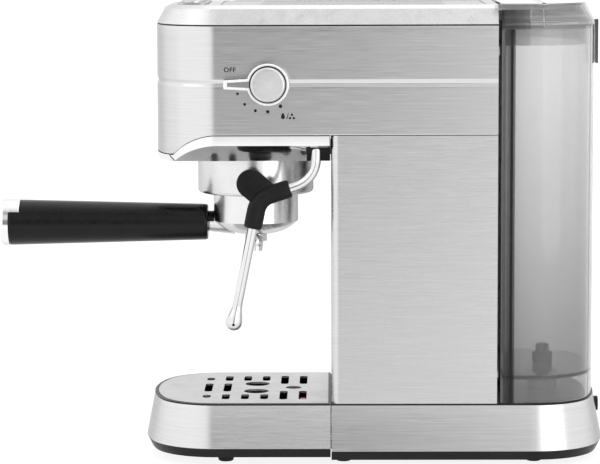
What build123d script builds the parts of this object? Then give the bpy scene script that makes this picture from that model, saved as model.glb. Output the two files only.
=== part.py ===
from build123d import *
import os
from math import asin, cos, pi, radians, sin

# Slim espresso machine. The front is -Y, the user's right is +X, and the feet stand on z = 0.
# The origin is on the floor, midway between the front and rear tips of the base.

# Clearances
FIT = 0.3               # between pieces that are assembled side by side
RUN = 0.05              # radial running fit of a shaft in its bearing
SLIP = 0.6              # around pieces that lift or slide out by hand
OVERLAP = 1.0           # by which joined shapes and cutters run into each other

# Base and the rounded ends that base, head and tank share
BASE_LENGTH = 315.0     # tip to tip along Y at the foot of the steel wall
BASE_MARGIN = 0.5       # top edge of the base wall outside the column's sides
END_BOW_R = 120.0       # shallow curve across a rounded end
END_CORNER_R = 40.0     # corner between that curve and the straight side
WALL_DRAFT = 6.0        # spread of the wall from its top edge to its foot
WALL_HEIGHT = 30.5
SHEET = 1.2             # steel sheet
FOOT_HEIGHT = 4.3
FOOT_R = 6.5
PAN_HEIGHT = 6.2        # dark band under the steel wall
PAN_TAPER = 3.0         # how far the band draws in towards the floor
PAN_FLOOR = 2.7
PAN_RIM = 4.0
TRIM = 0.9              # dark line on top of the wall
DECK = 4.0
SEAM_Y = -29.5          # parting line between the tray and the base
SEAM_GAP = 0.6
FOOT_INSET = 17.5       # foot centres inside the top edge of the wall, across
TRAY_FOOT_INSET = 50.5  # foot centres inside the tips of the wall, along
REAR_FOOT_INSET = 43.5
FRONT_FOOT_SETBACK = 8.2        # foot and boss centres behind the seam
BOSS_R = 4.5
BOSS_INSET = 18.5
BOSS_SETBACK = 17.2
REAR_BOSS_INSET = 21.5

# Drip tray
TRAY_RAISE = 1.8        # lower edge of the tray above that of the base
BASIN_WALL = 3.0
BASIN_FLOOR = 8.2
PLATE = 1.5
PLATE_LEDGE = 2.3
PLATE_MARGIN = 2.2      # from the tray's outer edge to the plate's recess
RAIL_X = 25.0
RAIL_WIDTH = 12.0
RAIL_LENGTH = 70.0
RAIL_HEIGHT = 4.0
RAIL_LIFT = 0.7         # underside of the rail above the underside of the pan
SLOT_FIRST_Y = -114.4
SLOT_PITCH = 13.1
SLOT_WIDTH = 5.4
SIDE_SLOTS = ((29, 40), (27, 46), (27, 46), (27, 46), (14, 47), (14, 47))   # X span of each column
MIDDLE_SLOT_HALF = 16.0
MIDDLE_SLOT_COUNT = 2
DRAIN_HOLE_R = 8.5
DRAIN_HOLE_X = 14.5
REAR_HOLE_R = 5.5
FLOAT_X = 30.0
FLOAT_LENGTH = 16.0
FLOAT_DEPTH = 15.0
FLOAT_HEIGHT = 11.5
FLOAT_FIN = 3.6
FLOAT_FIN_LENGTH = 10.0
FLOAT_FIN_X = 31.0
FLOAT_FIN_TOP = 1.2     # fin top below the underside of the drip plate
FLOAT_POST_R = 2.0
FLOAT_POST_HEIGHT = 23.5
FLOAT_PLAY = 0.4

# Column and head
BODY_HALF = 63.0        # half width of column and head
TANK_ZONE = 69.5        # from the back of the body to the rear tip of the base
COLUMN_CORNER_R = 5.0
HEAD_SETBACK = 3.5      # front of the head behind the front tip of the base
HEAD_SEAM_Z = 223.0     # lower edge of the head skin along the sides
HEAD_CHIN_Z = 209.3     # lower edge of the head skin at the front
HEAD_TOP_Z = 295.5
HEAD_UNDER_Z = 204.8
BAND_HEIGHT = 7.0       # upright polished band above the slanted side facet
FACET_RISE = 0.86       # height the facet gains for each millimetre outwards
SEAM_LINE = 0.4
GROOVE_Z = 257.5
GROOVE_HEIGHT = 5.4
GROOVE_DEPTH = 0.8
BACK_PANEL = 4.0
CHASSIS_INSET = 18.0    # chassis inside the column's sides
CHASSIS_PLATE = 3.0
CHASSIS_MARGIN = 10.0   # chassis plate ahead of the brew neck
POST_WIDTH = 8.0
POST_DEPTH = 10.0
SCREW_HEAD_R = 3.5
SCREW_HEAD = 1.2
SCREW_INSET = 11.0
SCREW_MARGIN = 18.0

# Top cap, cup plate and controls
GASKET = 0.9
GASKET_MARGIN = 0.6
GASKET_WIDTH = 4.0
CAP_HEIGHT = 12.6
CAP_SLOPE = 5.8         # inward lean of the cap's sloped sides
CAP_EDGE = 2.4          # height of the bevel between slope and flat top
CAP_WALL = 2.2
CAP_ROOF = 2.6
CUP_PLATE = 1.2
CUP_RECESS = 1.6
CUP_MARGIN_X = 7.0
CUP_SETBACK = 45.0      # front edge of the cup plate behind the front of the head
CUP_BACK_MARGIN = 7.0
CUP_SLOT_COUNT = 7
CUP_SLOT_SHARE = 0.7    # slot length over the plate's length
PANEL_HALF = 36.0
PANEL_SETBACK = 26.0    # row of buttons behind the front of the head
PANEL_DEPTH = 20.0
PANEL_CORNER_R = 5.0
PANEL_THICK = 2.0
PANEL_SUNK = 1.0
BUTTON_COUNT = 3
BUTTON_R = 7.0
BUTTON_PITCH = 24.0
BUTTON_PROUD = 1.2
BUTTON_TRAVEL = 1.0
BUTTON_FLANGE = 1.6
BUTTON_STEM_R = 3.0
BUTTON_STEM = 2.6
BOARD = 1.6
BOARD_INSET = 17.0      # ends of the board inside the head's sides
BOARD_DEPTH = 28.0
BOARD_SETBACK = 8.0     # middle of the board behind the row of buttons
BOARD_POST_R = 2.5
BOARD_POST_MARGIN_X = 3.0
BOARD_POST_MARGIN_Y = 4.0
SWITCH_HEIGHT = 0.7

# Brew group and portafilter, all about one upright brew axis
BREW_Y = -81.0
RING_R = 39.75
RING_DROP = 25.4
RING_WALL = 3.5
RING_ROUND = 3.0
BELL_WALL = 1.8
NECK_R = 33.0
GROUP_TOP_Z = 214.0
CUP_R = 29.25
CUP_BOTTOM_Z = 159.7
CUP_DOME = 9.2
CUP_RIM_Z = 189.2
CUP_WALL = 1.65
CUP_FLOOR = 4.3
SPOUT_SEAT_R = 8.0
LUG_REACH = 33.4
LUG_HEIGHT = 3.6
LUG_TOP_DROP = 1.2
LUG_HALF_ANGLE = 18.0
LUG_GAP = 0.4
RAMP = 3.0
UNLOCK_ANGLE = 45.0
WINDOW_EXTRA = 4.0
BASKET_R = 26.4
BASKET_SHEET = 0.8
BASKET_DEPTH = 21.2
SPRING_WIRE_R = 0.45
SPRING_DROP = 6.0
SPRING_GAP_ANGLE = 40.0
SEAL_INNER_R = 25.6
SEAL_OUTER_R = 31.2
SEAL_HEIGHT = 8.2
SCREEN_R = 24.8
SCREEN = 1.2
SCREEN_DROP = 1.8       # underside of the screen's boss below the basket flange
SCREEN_BOSS_R = 22.0
SCREEN_ROW_COUNTS = (6, 12, 18)
SCREEN_ROW_R = (9.0, 15.0, 21.0)
SCREEN_HOLE_R = 1.0
SCREW_R = 2.4
SCREEN_SCREW_HEAD_R = 4.0
SCREEN_SCREW_HEAD = 1.8
SCREEN_SCREW_LENGTH = 8.0
SPOUT_SPREAD = 10.0
SPOUT_R = 5.2
SPOUT_TIP_R = 4.6
SPOUT_BORE_R = 3.0
SPOUT_DROP = 11.0
HANDLE_Z = 158.3
HANDLE_FRONT_GAP = 3.9  # between the cup and the handle
HANDLE_LENGTH = 141.9
HANDLE_R = 12.4
HANDLE_END_R = 15.8
HANDLE_EDGE = 1.5
HANDLE_CAP = 5.0
TONGUE_LENGTH = 12.5
TONGUE_RISE = 8.1       # underside of the tongue above the handle's axis
STUD_R = 4.0
STUD_LENGTH = 66.0
STUD_IN_NECK = 6.0
NECK_TIP_R = 6.5
NECK_ROOT_R = 8.6

# Steam knob on the right side of the head
KNOB_Y = -70.7
KNOB_Z = 257.5
KNOB_R = 14.0
KNOB_STANDOFF = 1.6
KNOB_DEPTH = 14.0
KNOB_BORDER = 1.6
KNOB_DISC_R = 11.75
KNOB_DISC_DEPTH = 6.0
KNOB_DISC_PROUD = 1.6
KNOB_DISC_ROUND = 1.4
POINTER_REACH = 29.5
POINTER_TIP_HALF = 3.0
POINTER_ROOT_HALF = 3.9
POINTER_BACK = 1.6
POINTER_FRONT = 2.4
POINTER_RECESS = 1.0
STEM_R = 2.5
STEM_HOLE_R = 6.2
STEM_IN_KNOB = 7.0

# Steam wand and its valve
WAND_INSET = 6.0        # wand's axis inside the head's side
WAND_Y = -39.0
WAND_TOP_Z = 222.0
WAND_R = 3.3
WAND_KNEE_Z = 192.6     # upright run meets the run towards the front
WAND_BEND_Y = -77.6     # that run meets the run down to the tip
WAND_BEND_Z = 180.4
WAND_TIP_Y = -95.7
WAND_TIP_Z = 91.1
WAND_KNEE_R = 22.0
WAND_BEND_R = 15.0
WAND_COLLAR_R = 4.2
WAND_COLLAR = 1.8
TIP_R = 5.5
TIP_LENGTH = 18.0
GRIP_R = 6.2
GRIP_BEFORE = 22.0      # sleeve along the forward run, measured from the bend
GRIP_AFTER = 20.5       # sleeve along the tip run, measured from the bend
PADDLE_R = 9.6
PADDLE_Y = -82.8
PADDLE_Z = 190.2
PADDLE_ROOT_R = 5.0
PADDLE_WEB = 10.2        # web from the paddle back along the forward run
PADDLE_THICK = 5.0
SOCKET_WIDTH = 15.0
SOCKET_FRONT = 6.5      # socket in front of the wand's axis
SOCKET_TOP_Z = 218.0
BAND_WALL = 1.7
VALVE_HEIGHT = 15.0
VALVE_WIDTH = 14.6
VALVE_GAP = 7.0         # end of the valve inside the head's side
STEAM_PIPE_R = 2.5
STEAM_PIPE_DROP = 14.0
STEAM_PIPE_BEND = 6.0

# Thermoblock, pump and water path
BLOCK_HALF = 34.0
BLOCK_DEPTH = 74.0
BLOCK_HEIGHT = 54.0
BLOCK_ROUND = 4.0
BLOCK_LEG_R = 4.0
BLOCK_LEG_MARGIN = 5.0
BOLT_R = 3.5
BOLT_HEAD = 3.0
PUMP_Y = 25.0
PUMP_HALF = 20.0
PUMP_BOTTOM_Z = 80.0
PUMP_HEIGHT = 40.0
PUMP_INLET_R = 5.0
PUMP_INLET = 18.0
PUMP_OUTLET_R = 6.0
PUMP_OUTLET = 30.0
MOUNT_PAD = 2.0
MOUNT_PAD_HALF = 10.0
BRACKET = 2.0
BRACKET_HALF_DEPTH = 15.0
HOSE_R = 3.5
HOSE_BEND = 12.0
HOSE_RUN_Z = 22.0
PRESSURE_HOSE_R = 3.0
PRESSURE_HOSE_Z = 240.0
PRESSURE_HOSE_BEND = 15.0
CHASSIS_SLOT_HALF = 10.0

# Water tank behind the column
TANK_INSET = 1.0        # tank inside the lid's edge
TANK_GAP = 2.3          # between the back panel and the tank
TANK_TOP_Z = 292.8
TANK_FLOOR_Z = 58.0
TANK_FLOOR = 2.5
TANK_WALL = 2.2
PORT_INSET = 34.5       # port's axis inside the rear tip of the base
PORT_R = 11.0
PORT_HEIGHT = 12.1
PORT_FLOOR = 2.1
PORT_STUB_R = 6.5
PORT_STUB = 5.9
PORT_WATER_R = 1.2
PORT_WATER_X = 3.8
NOZZLE_R = 6.0
NOZZLE_BORE_R = 4.0
NOZZLE_END_Z = 46.6
NOZZLE_LIP = 1.4
NOZZLE_LIP_R = 2.4
PORT_SEAL_WALL = 2.3
PORT_SEAL_HEIGHT = 3.0
PORT_PIN_R = 1.4
PORT_PIN = 5.0
POPPET_R = 3.5
POPPET_HEIGHT = 6.7
FILTER_R = 7.0
FILTER_HEIGHT = 12.7
FILTER_WALL = 1.0
FILTER_SLOT_COUNT = 6
FILTER_BAND = 3.0       # uncut wall at each end of the slots
COLLAR_DEPTH = 10.8
COLLAR_WALL = 1.6
COLLAR_FLANGE = 1.5
LID_SKIRT = 1.5
LID_HEIGHT = 13.5
LID_SLOPE = 6.2
LID_EDGE = 1.4
LID_WALL = 2.0
LID_ROOF = 2.4
HINGE_SETBACK = 27.7    # hinge axis behind the front of the lid
HINGE_DROP = 1.6        # hinge axis below the top of the lid
BARREL_R = 2.0
HINGE_GAP = 0.4
LID_PIN_R = 1.0
KNUCKLE_X = 30.0
KNUCKLE_HALF = 3.2
BARREL_INSET = 9.0      # ends of the hinge barrel inside the lid's edge
PIN_REACH = 9.0
TAB_HALF = 13.0
TAB_THICK = 1.6
TAB_STANDOFF = 0.5
TAB_BOTTOM_Z = 267.7
TAB_WEB = 2.8

# Cord inlet in the rear wall
GLAND_Z = 31.0
GLAND_R = 5.0
GLAND_BORE_R = 3.7
GLAND_LENGTH = 15.0
GLAND_PROUD = 2.0

# Levels and places worked out from the sizes above
PAN_TOP_Z = FOOT_HEIGHT + PAN_HEIGHT
WALL_TOP_Z = PAN_TOP_Z + WALL_HEIGHT
TRIM_TOP_Z = WALL_TOP_Z + TRIM
BASE_TIP = BASE_LENGTH / 2 - WALL_DRAFT
BASE_TOP_HALF = BODY_HALF + BASE_MARGIN
TRAY_BACK_Y = SEAM_Y - SEAM_GAP / 2
BASE_FRONT_Y = SEAM_Y + SEAM_GAP / 2
FOOT_X = BASE_TOP_HALF - FOOT_INSET
TRAY_FOOT_Y = TRAY_FOOT_INSET - BASE_TIP
BASE_FOOT_FRONT_Y = BASE_FRONT_Y + FRONT_FOOT_SETBACK
BASE_FOOT_REAR_Y = BASE_TIP - REAR_FOOT_INSET
BOSS_X = BASE_TOP_HALF - BOSS_INSET
BOSS_FRONT_Y = BASE_FRONT_Y + BOSS_SETBACK
BOSS_REAR_Y = BASE_TIP - REAR_BOSS_INSET
FLOAT_COLUMN = len(SIDE_SLOTS) - 1      # the last column of slots shows the float
BODY_BACK_Y = BASE_TIP - TANK_ZONE
HEAD_FRONT_Y = HEAD_SETBACK - BASE_TIP
CUP_FRONT_Y = HEAD_FRONT_Y + CUP_SETBACK
PANEL_CENTRE_Y = HEAD_FRONT_Y + PANEL_SETBACK
CHASSIS_HALF = BODY_HALF - CHASSIS_INSET
SCREW_X = BODY_HALF - SCREW_INSET
BOARD_HALF = BODY_HALF - BOARD_INSET
BOARD_POST_X = BOARD_HALF - BOARD_POST_MARGIN_X
WAND_X = BODY_HALF - WAND_INSET
LID_HALF = BODY_HALF
LID_BACK_Y = BASE_TIP
TANK_HALF = LID_HALF - TANK_INSET
TANK_FRONT_Y = BODY_BACK_Y + TANK_GAP
TANK_BACK_Y = LID_BACK_Y - TANK_INSET
PORT_Y = BASE_TIP - PORT_INSET
HINGE_Y = TANK_FRONT_Y + HINGE_SETBACK
BARREL_END_X = LID_HALF - BARREL_INSET
PLATE_SEAT_Z = TRIM_TOP_Z - PLATE + FIT
BASIN_FLOOR_Z = FOOT_HEIGHT + BASIN_FLOOR
CAP_Z = HEAD_TOP_Z + GASKET
CAP_TOP_Z = CAP_Z + CAP_HEIGHT
CAP_CEILING_Z = CAP_TOP_Z - CAP_ROOF
CHASSIS_Z = HEAD_CHIN_Z - SEAM_LINE
CHASSIS_TOP_Z = CHASSIS_Z + CHASSIS_PLATE
FACET_Z = HEAD_SEAM_Z - BAND_HEIGHT
RING_BOTTOM_Z = HEAD_UNDER_Z - RING_DROP
BASKET_TOP_Z = CUP_RIM_Z + BASKET_SHEET
SEAL_Z = BASKET_TOP_Z + FIT
LUG_TOP_Z = CUP_RIM_Z - LUG_TOP_DROP
LUG_Z = LUG_TOP_Z - LUG_HEIGHT
RAMP_TOP_Z = LUG_Z - LUG_GAP
BLOCK_FRONT_Y = BREW_Y - BLOCK_DEPTH / 2
BLOCK_TOP_Z = GROUP_TOP_Z + BLOCK_HEIGHT
VALVE_END_X = BODY_HALF - VALVE_GAP
KNOB_BACK_X = BODY_HALF + KNOB_STANDOFF
KNOB_FACE_X = KNOB_BACK_X + KNOB_DEPTH
HANDLE_FRONT_Y = BREW_Y - CUP_R - HANDLE_FRONT_GAP
HANDLE_END_Y = HANDLE_FRONT_Y - HANDLE_LENGTH
LID_Z = TANK_TOP_Z + COLLAR_FLANGE + FIT
LID_TOP_Z = LID_Z + LID_SKIRT + LID_HEIGHT
LID_ROOF_Z = LID_TOP_Z - LID_ROOF
HINGE_Z = LID_TOP_Z - HINGE_DROP
FAR = 400.0             # well beyond the machine, for cutting


def end_points(half, tip, side, inset):
    """Right-hand joints of a rounded end: side tangent, corner middle, bow tangent and tip."""
    bow = END_BOW_R - inset
    corner = END_CORNER_R - inset
    half = half - inset
    tip = tip - side * inset
    lean = asin((half - corner) / (bow - corner))
    bow_y = tip - side * bow
    corner_y = bow_y + side * (bow - corner) * cos(lean)
    middle = (pi / 2 - lean) / 2
    return {
        "side": (half, corner_y),
        "middle": (half - corner + corner * cos(middle), corner_y + side * corner * sin(middle)),
        "bow": (bow * sin(lean), bow_y + side * bow * cos(lean)),
        "tip": (0, tip),
    }


def mirrored(point):
    return (-point[0], point[1])


def end_edges(points):
    """The three arcs of a rounded end, right corner, bow and left corner."""
    side, middle, bow, tip = (points[key] for key in ("side", "middle", "bow", "tip"))
    return [
        ThreePointArc(side, middle, bow),
        ThreePointArc(bow, tip, mirrored(bow)),
        ThreePointArc(mirrored(bow), mirrored(middle), mirrored(side)),
    ]


def plan(half, front, back, inset=0.0, front_round=True, back_round=True):
    """Plan outline with straight sides. A round end draws in by the inset, a flat one stays."""
    edges = []
    if front_round:
        front_points = end_points(half, front, -1, inset)
        edges += end_edges(front_points)
        front_joint = front_points["side"]
    else:
        front_joint = (half - inset, front)
        edges.append(Line(front_joint, mirrored(front_joint)))
    if back_round:
        back_points = end_points(half, back, 1, inset)
        edges += end_edges(back_points)
        back_joint = back_points["side"]
    else:
        back_joint = (half - inset, back)
        edges.append(Line(back_joint, mirrored(back_joint)))
    edges.append(Line(front_joint, back_joint))
    edges.append(Line(mirrored(front_joint), mirrored(back_joint)))
    return make_face(edges)


def prism(face, z0, z1):
    return Pos(0, 0, z0) * extrude(face, amount=z1 - z0, dir=(0, 0, 1))


def taper(face0, z0, face1, z1):
    return loft([Pos(0, 0, z0) * face0, Pos(0, 0, z1) * face1], ruled=True)


def block(x0, x1, y0, y1, z0, z1):
    centre = Pos((x0 + x1) / 2, (y0 + y1) / 2, (z0 + z1) / 2)
    return centre * Box(x1 - x0, y1 - y0, z1 - z0)


def upright(x, y, z0, z1, r):
    return Pos(x, y, z0) * Cylinder(r, z1 - z0, align=(Align.CENTER, Align.CENTER, Align.MIN))


def along_x(x0, x1, y, z, r):
    return Pos((x0 + x1) / 2, y, z) * Rot(0, 90, 0) * Cylinder(r, x1 - x0)


def along_y(x, y0, y1, z, r):
    return Pos(x, (y0 + y1) / 2, z) * Rot(90, 0, 0) * Cylinder(r, y1 - y0)


def rounded_block(x0, x1, y0, y1, z0, z1, r):
    """Block with its four upright edges rounded."""
    face = Pos((x0 + x1) / 2, (y0 + y1) / 2, z0) * RectangleRounded(x1 - x0, y1 - y0, r)
    return extrude(face, amount=z1 - z0, dir=(0, 0, 1))


def ring(x, y, z0, z1, outer, inner):
    return upright(x, y, z0, z1, outer) - upright(x, y, z0, z1, inner)


def both_sides(piece):
    return piece + mirror(piece, about=Plane.YZ)


def ahead_of(y):
    return block(-FAR, FAR, -FAR, y, -FAR, FAR)


def behind(y):
    return block(-FAR, FAR, y, FAR, -FAR, FAR)


def tube(path, r):
    return sweep((path ^ 0) * Circle(r), path=path)


def side_wedge(z, rise=1.0):
    """Everything under two planes that rise outwards to z at the body's sides."""
    reach = FAR / 4
    profile = Plane.XZ * make_face(Polyline(
        (BODY_HALF - reach, z - reach * rise),
        (BODY_HALF + reach, z + reach * rise),
        (BODY_HALF + reach, z - reach * rise),
        close=True,
    ))
    return both_sides(extrude(profile, amount=FAR, both=True))


# Base and drip tray share one drafted wall, cut at the seam

def base_plan(inset):
    return plan(BASE_TOP_HALF, -BASE_TIP, BASE_TIP, inset)


def wall_inset(z):
    """Inset of the outer face of the base wall at a height."""
    return -WALL_DRAFT * (WALL_TOP_Z - z) / WALL_HEIGHT


def drafted(inset, z0, z1):
    """Solid whose side is parallel to the base wall, inset from its outer face."""
    return taper(base_plan(wall_inset(z0) + inset), z0, base_plan(wall_inset(z1) + inset), z1)


def base_wall(foot_z):
    return drafted(0, foot_z, WALL_TOP_Z) - drafted(SHEET, foot_z, WALL_TOP_Z)


def pan_band(top):
    """Dark band that draws in below the foot of the steel wall."""
    spread = wall_inset(top)
    return taper(base_plan(PAN_TAPER + spread), top - PAN_HEIGHT, base_plan(spread), top)


def rail(grow, reach):
    """Tongue of the pan that the tray slides on, or the channel round it."""
    return both_sides(block(
        RAIL_X - RAIL_WIDTH / 2 - grow,
        RAIL_X + RAIL_WIDTH / 2 + grow,
        BASE_FRONT_Y - RAIL_LENGTH - reach,
        BASE_FRONT_Y + BASIN_WALL,
        FOOT_HEIGHT + RAIL_LIFT - reach,
        FOOT_HEIGHT + RAIL_LIFT + RAIL_HEIGHT + grow,
    ))


def feet(places, height):
    return Compound([upright(x, y, 0, height, FOOT_R) for x, y in places])


def base_feet():
    ys = (BASE_FOOT_FRONT_Y, BASE_FOOT_REAR_Y)
    return feet([(side * FOOT_X, y) for side in (-1, 1) for y in ys], FOOT_HEIGHT)


def tray_feet():
    return feet([(side * FOOT_X, TRAY_FOOT_Y) for side in (-1, 1)], FOOT_HEIGHT + TRAY_RAISE)


def base_pan():
    hollow = prism(base_plan(PAN_RIM - WALL_DRAFT), FOOT_HEIGHT + PAN_FLOOR, PAN_TOP_Z)
    pan = (pan_band(PAN_TOP_Z) - (hollow & behind(BASE_FRONT_Y + BASIN_WALL))) & behind(BASE_FRONT_Y)
    pan += rail(0, 0)
    for y in (BOSS_FRONT_Y, BOSS_REAR_Y):
        pan += both_sides(upright(BOSS_X, y, FOOT_HEIGHT, WALL_TOP_Z - DECK, BOSS_R))
    return pan


def gland_axis(y0, y1, r):
    return along_y(0, y0, y1, GLAND_Z, r)


def gland_outer_y():
    return BASE_TIP - wall_inset(GLAND_Z) + GLAND_PROUD


def base_shell():
    return (base_wall(PAN_TOP_Z) & behind(BASE_FRONT_Y)) - gland_axis(BASE_TIP / 2, FAR, GLAND_R + FIT)


def cord_gland():
    outer = gland_outer_y()
    inner = outer - GLAND_LENGTH
    return gland_axis(inner, outer, GLAND_R) - gland_axis(inner, outer, GLAND_BORE_R)


def base_deck():
    deck = prism(base_plan(SHEET + FIT), WALL_TOP_Z - DECK, WALL_TOP_Z)
    deck += prism(base_plan(0), WALL_TOP_Z, TRIM_TOP_Z)
    deck = deck & behind(BASE_FRONT_Y)
    deck -= upright(0, PORT_Y, WALL_TOP_Z - DECK, TRIM_TOP_Z, PORT_STUB_R + FIT)
    return deck - upright(0, PUMP_Y, WALL_TOP_Z - DECK, TRIM_TOP_Z, HOSE_R + SLIP)


def tray_shell():
    return base_wall(PAN_TOP_Z + TRAY_RAISE) & ahead_of(TRAY_BACK_Y)


def float_post_place():
    return FLOAT_X - FLOAT_LENGTH / 4, slot_y(FLOAT_COLUMN) - FLOAT_DEPTH / 4


def tray_basin():
    foot_z = PAN_TOP_Z + TRAY_RAISE
    basin = pan_band(foot_z) + drafted(SHEET + FIT, foot_z, WALL_TOP_Z)
    basin += prism(base_plan(0), WALL_TOP_Z, TRIM_TOP_Z)
    basin = basin & ahead_of(TRAY_BACK_Y)
    recess = prism(base_plan(PLATE_MARGIN), PLATE_SEAT_Z, TRIM_TOP_Z)
    basin -= recess & ahead_of(TRAY_BACK_Y - SHEET)
    hollow = prism(base_plan(PLATE_MARGIN + PLATE_LEDGE), BASIN_FLOOR_Z, PLATE_SEAT_Z)
    basin -= hollow & ahead_of(TRAY_BACK_Y - BASIN_WALL)
    basin -= rail(FIT, SLIP)
    post_x, post_y = float_post_place()
    post_top = BASIN_FLOOR_Z + FLOAT_POST_HEIGHT
    return basin + upright(post_x, post_y, BASIN_FLOOR_Z - OVERLAP, post_top, FLOAT_POST_R)


def slot_y(column):
    return SLOT_FIRST_Y + column * SLOT_PITCH


def slot(column, x0, x1):
    """Round-ended slot across the plate, from x0 to x1."""
    shape = Pos((x0 + x1) / 2, slot_y(column)) * SlotOverall(x1 - x0, SLOT_WIDTH)
    return prism(shape, PLATE_SEAT_Z - OVERLAP, PLATE_SEAT_Z + PLATE + OVERLAP)


def drip_plate():
    plate = prism(base_plan(PLATE_MARGIN + FIT), PLATE_SEAT_Z, PLATE_SEAT_Z + PLATE)
    plate = plate & ahead_of(TRAY_BACK_Y - SHEET - FIT)
    for column, (x0, x1) in enumerate(SIDE_SLOTS):
        plate -= both_sides(slot(column, x0, x1))
    for column in range(MIDDLE_SLOT_COUNT):
        plate -= slot(column, -MIDDLE_SLOT_HALF, MIDDLE_SLOT_HALF)
    z0 = PLATE_SEAT_Z - OVERLAP
    z1 = PLATE_SEAT_Z + PLATE + OVERLAP
    plate -= both_sides(upright(DRAIN_HOLE_X, BREW_Y, z0, z1, DRAIN_HOLE_R))
    rear_y = slot_y(FLOAT_COLUMN) - SLOT_PITCH / 2
    return plate - upright(0, rear_y, z0, z1, REAR_HOLE_R)


def tray_float():
    y = slot_y(FLOAT_COLUMN)
    body = block(
        FLOAT_X - FLOAT_LENGTH / 2, FLOAT_X + FLOAT_LENGTH / 2,
        y - FLOAT_DEPTH / 2, y + FLOAT_DEPTH / 2,
        BASIN_FLOOR_Z, BASIN_FLOOR_Z + FLOAT_HEIGHT,
    )
    fin = block(
        FLOAT_FIN_X - FLOAT_FIN_LENGTH / 2, FLOAT_FIN_X + FLOAT_FIN_LENGTH / 2,
        y - FLOAT_FIN / 2, y + FLOAT_FIN / 2,
        BASIN_FLOOR_Z, PLATE_SEAT_Z - FLOAT_FIN_TOP,
    )
    post_x, post_y = float_post_place()
    return body + fin - upright(post_x, post_y, 0, PLATE_SEAT_Z, FLOAT_POST_R + FLOAT_PLAY)


# Column

def column_skin():
    """Sheet folded round the front corners, open at the back and notched under the head."""
    def folded(inset):
        reach = 2 * COLUMN_CORNER_R
        return rounded_block(
            -BODY_HALF + inset, BODY_HALF - inset,
            BASE_FRONT_Y + inset, BODY_BACK_Y + reach,
            TRIM_TOP_Z, HEAD_SEAM_Z - SEAM_LINE, COLUMN_CORNER_R - inset,
        )
    skin = (folded(0) - folded(SHEET)) & ahead_of(BODY_BACK_Y)
    notch = BODY_HALF - COLUMN_CORNER_R
    return skin - block(-notch, notch, -FAR, 0, HEAD_UNDER_Z, FAR)


def back_panel():
    """Rear wall, notched at its edges for the head's groove."""
    half = BODY_HALF - SHEET - FIT
    front = BODY_BACK_Y - BACK_PANEL
    panel = block(-half, half, front, BODY_BACK_Y, TRIM_TOP_Z, HEAD_TOP_Z)
    reach = GROOVE_HEIGHT / 2 + FIT
    notch = block(half - GROOVE_DEPTH, half, front, BODY_BACK_Y, GROOVE_Z - reach, GROOVE_Z + reach)
    return panel - both_sides(notch)


def case_screws():
    heights = (TRIM_TOP_Z + SCREW_MARGIN, HEAD_TOP_Z - SCREW_MARGIN)
    back = BODY_BACK_Y + SCREW_HEAD
    places = [(side * SCREW_X, z) for side in (-1, 1) for z in heights]
    return Compound([along_y(x, BODY_BACK_Y, back, z, SCREW_HEAD_R) for x, z in places])


def chassis():
    """Plate under the thermoblock and four posts that carry it down to the deck."""
    back = BODY_BACK_Y - BACK_PANEL - FIT
    front = BREW_Y - NECK_R - CHASSIS_MARGIN
    plate = block(-CHASSIS_HALF, CHASSIS_HALF, front, back, CHASSIS_Z, CHASSIS_TOP_Z)
    plate -= upright(0, BREW_Y, CHASSIS_Z, CHASSIS_TOP_Z, NECK_R + SLIP)
    plate -= block(
        -CHASSIS_SLOT_HALF, CHASSIS_SLOT_HALF,
        PUMP_Y - CHASSIS_SLOT_HALF, PUMP_Y + CHASSIS_SLOT_HALF,
        CHASSIS_Z, CHASSIS_TOP_Z,
    )
    first_post = BASE_FRONT_Y + SHEET + COLUMN_CORNER_R
    for y in (first_post, back - POST_DEPTH):
        plate += both_sides(block(
            CHASSIS_HALF - POST_WIDTH, CHASSIS_HALF, y, y + POST_DEPTH, TRIM_TOP_Z, CHASSIS_TOP_Z,
        ))
    return plate


# Head

def head_plan(inset):
    return plan(BODY_HALF, HEAD_FRONT_Y, BODY_BACK_Y, inset, back_round=False)


def grooved(inset):
    """Head outline drawn in by an inset, with the pressed groove round it."""
    low = GROOVE_Z - GROOVE_HEIGHT / 2
    high = low + GROOVE_HEIGHT
    body = prism(head_plan(inset), HEAD_CHIN_Z, low)
    body += taper(head_plan(inset), low, head_plan(inset + GROOVE_DEPTH), GROOVE_Z)
    body += taper(head_plan(inset + GROOVE_DEPTH), GROOVE_Z, head_plan(inset), high)
    return body + prism(head_plan(inset), high, HEAD_TOP_Z)


def head_skin():
    """Sheet rolled round the front, with a groove, its lower edge rising from the chin to the sides."""
    skin = grooved(0) - grooved(SHEET)
    skin -= side_wedge(HEAD_SEAM_Z)
    skin -= block(-FAR, FAR, BASE_FRONT_Y - SEAM_LINE, FAR, HEAD_CHIN_Z, HEAD_SEAM_Z)
    return skin - along_x(0, FAR, KNOB_Y, KNOB_Z, STEM_HOLE_R)


def socket_box(grow, top):
    """Place of the wand socket beside the column."""
    return block(
        BODY_HALF - BAND_WALL - SOCKET_WIDTH - grow,
        BODY_HALF - BAND_WALL + grow,
        WAND_Y - SOCKET_FRONT - grow,
        BASE_FRONT_Y - SEAM_GAP + grow,
        HEAD_UNDER_Z - grow,
        top,
    )


def head_bottom():
    """Polished underside: floor, chamfered chin, upright side bands and slanted side facets."""
    top = HEAD_SEAM_Z - SEAM_LINE
    floor = taper(head_plan(CHASSIS_Z - HEAD_UNDER_Z), HEAD_UNDER_Z, head_plan(0), CHASSIS_Z)
    wings = prism(head_plan(0), HEAD_UNDER_Z, top) & side_wedge(top)
    shell = (floor + wings - side_wedge(FACET_Z, FACET_RISE)) & ahead_of(BASE_FRONT_Y - SEAM_LINE)
    shell -= upright(0, BREW_Y, HEAD_UNDER_Z, CHASSIS_Z, NECK_R + FIT)
    return shell - socket_box(FIT, HEAD_SEAM_Z)


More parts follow.
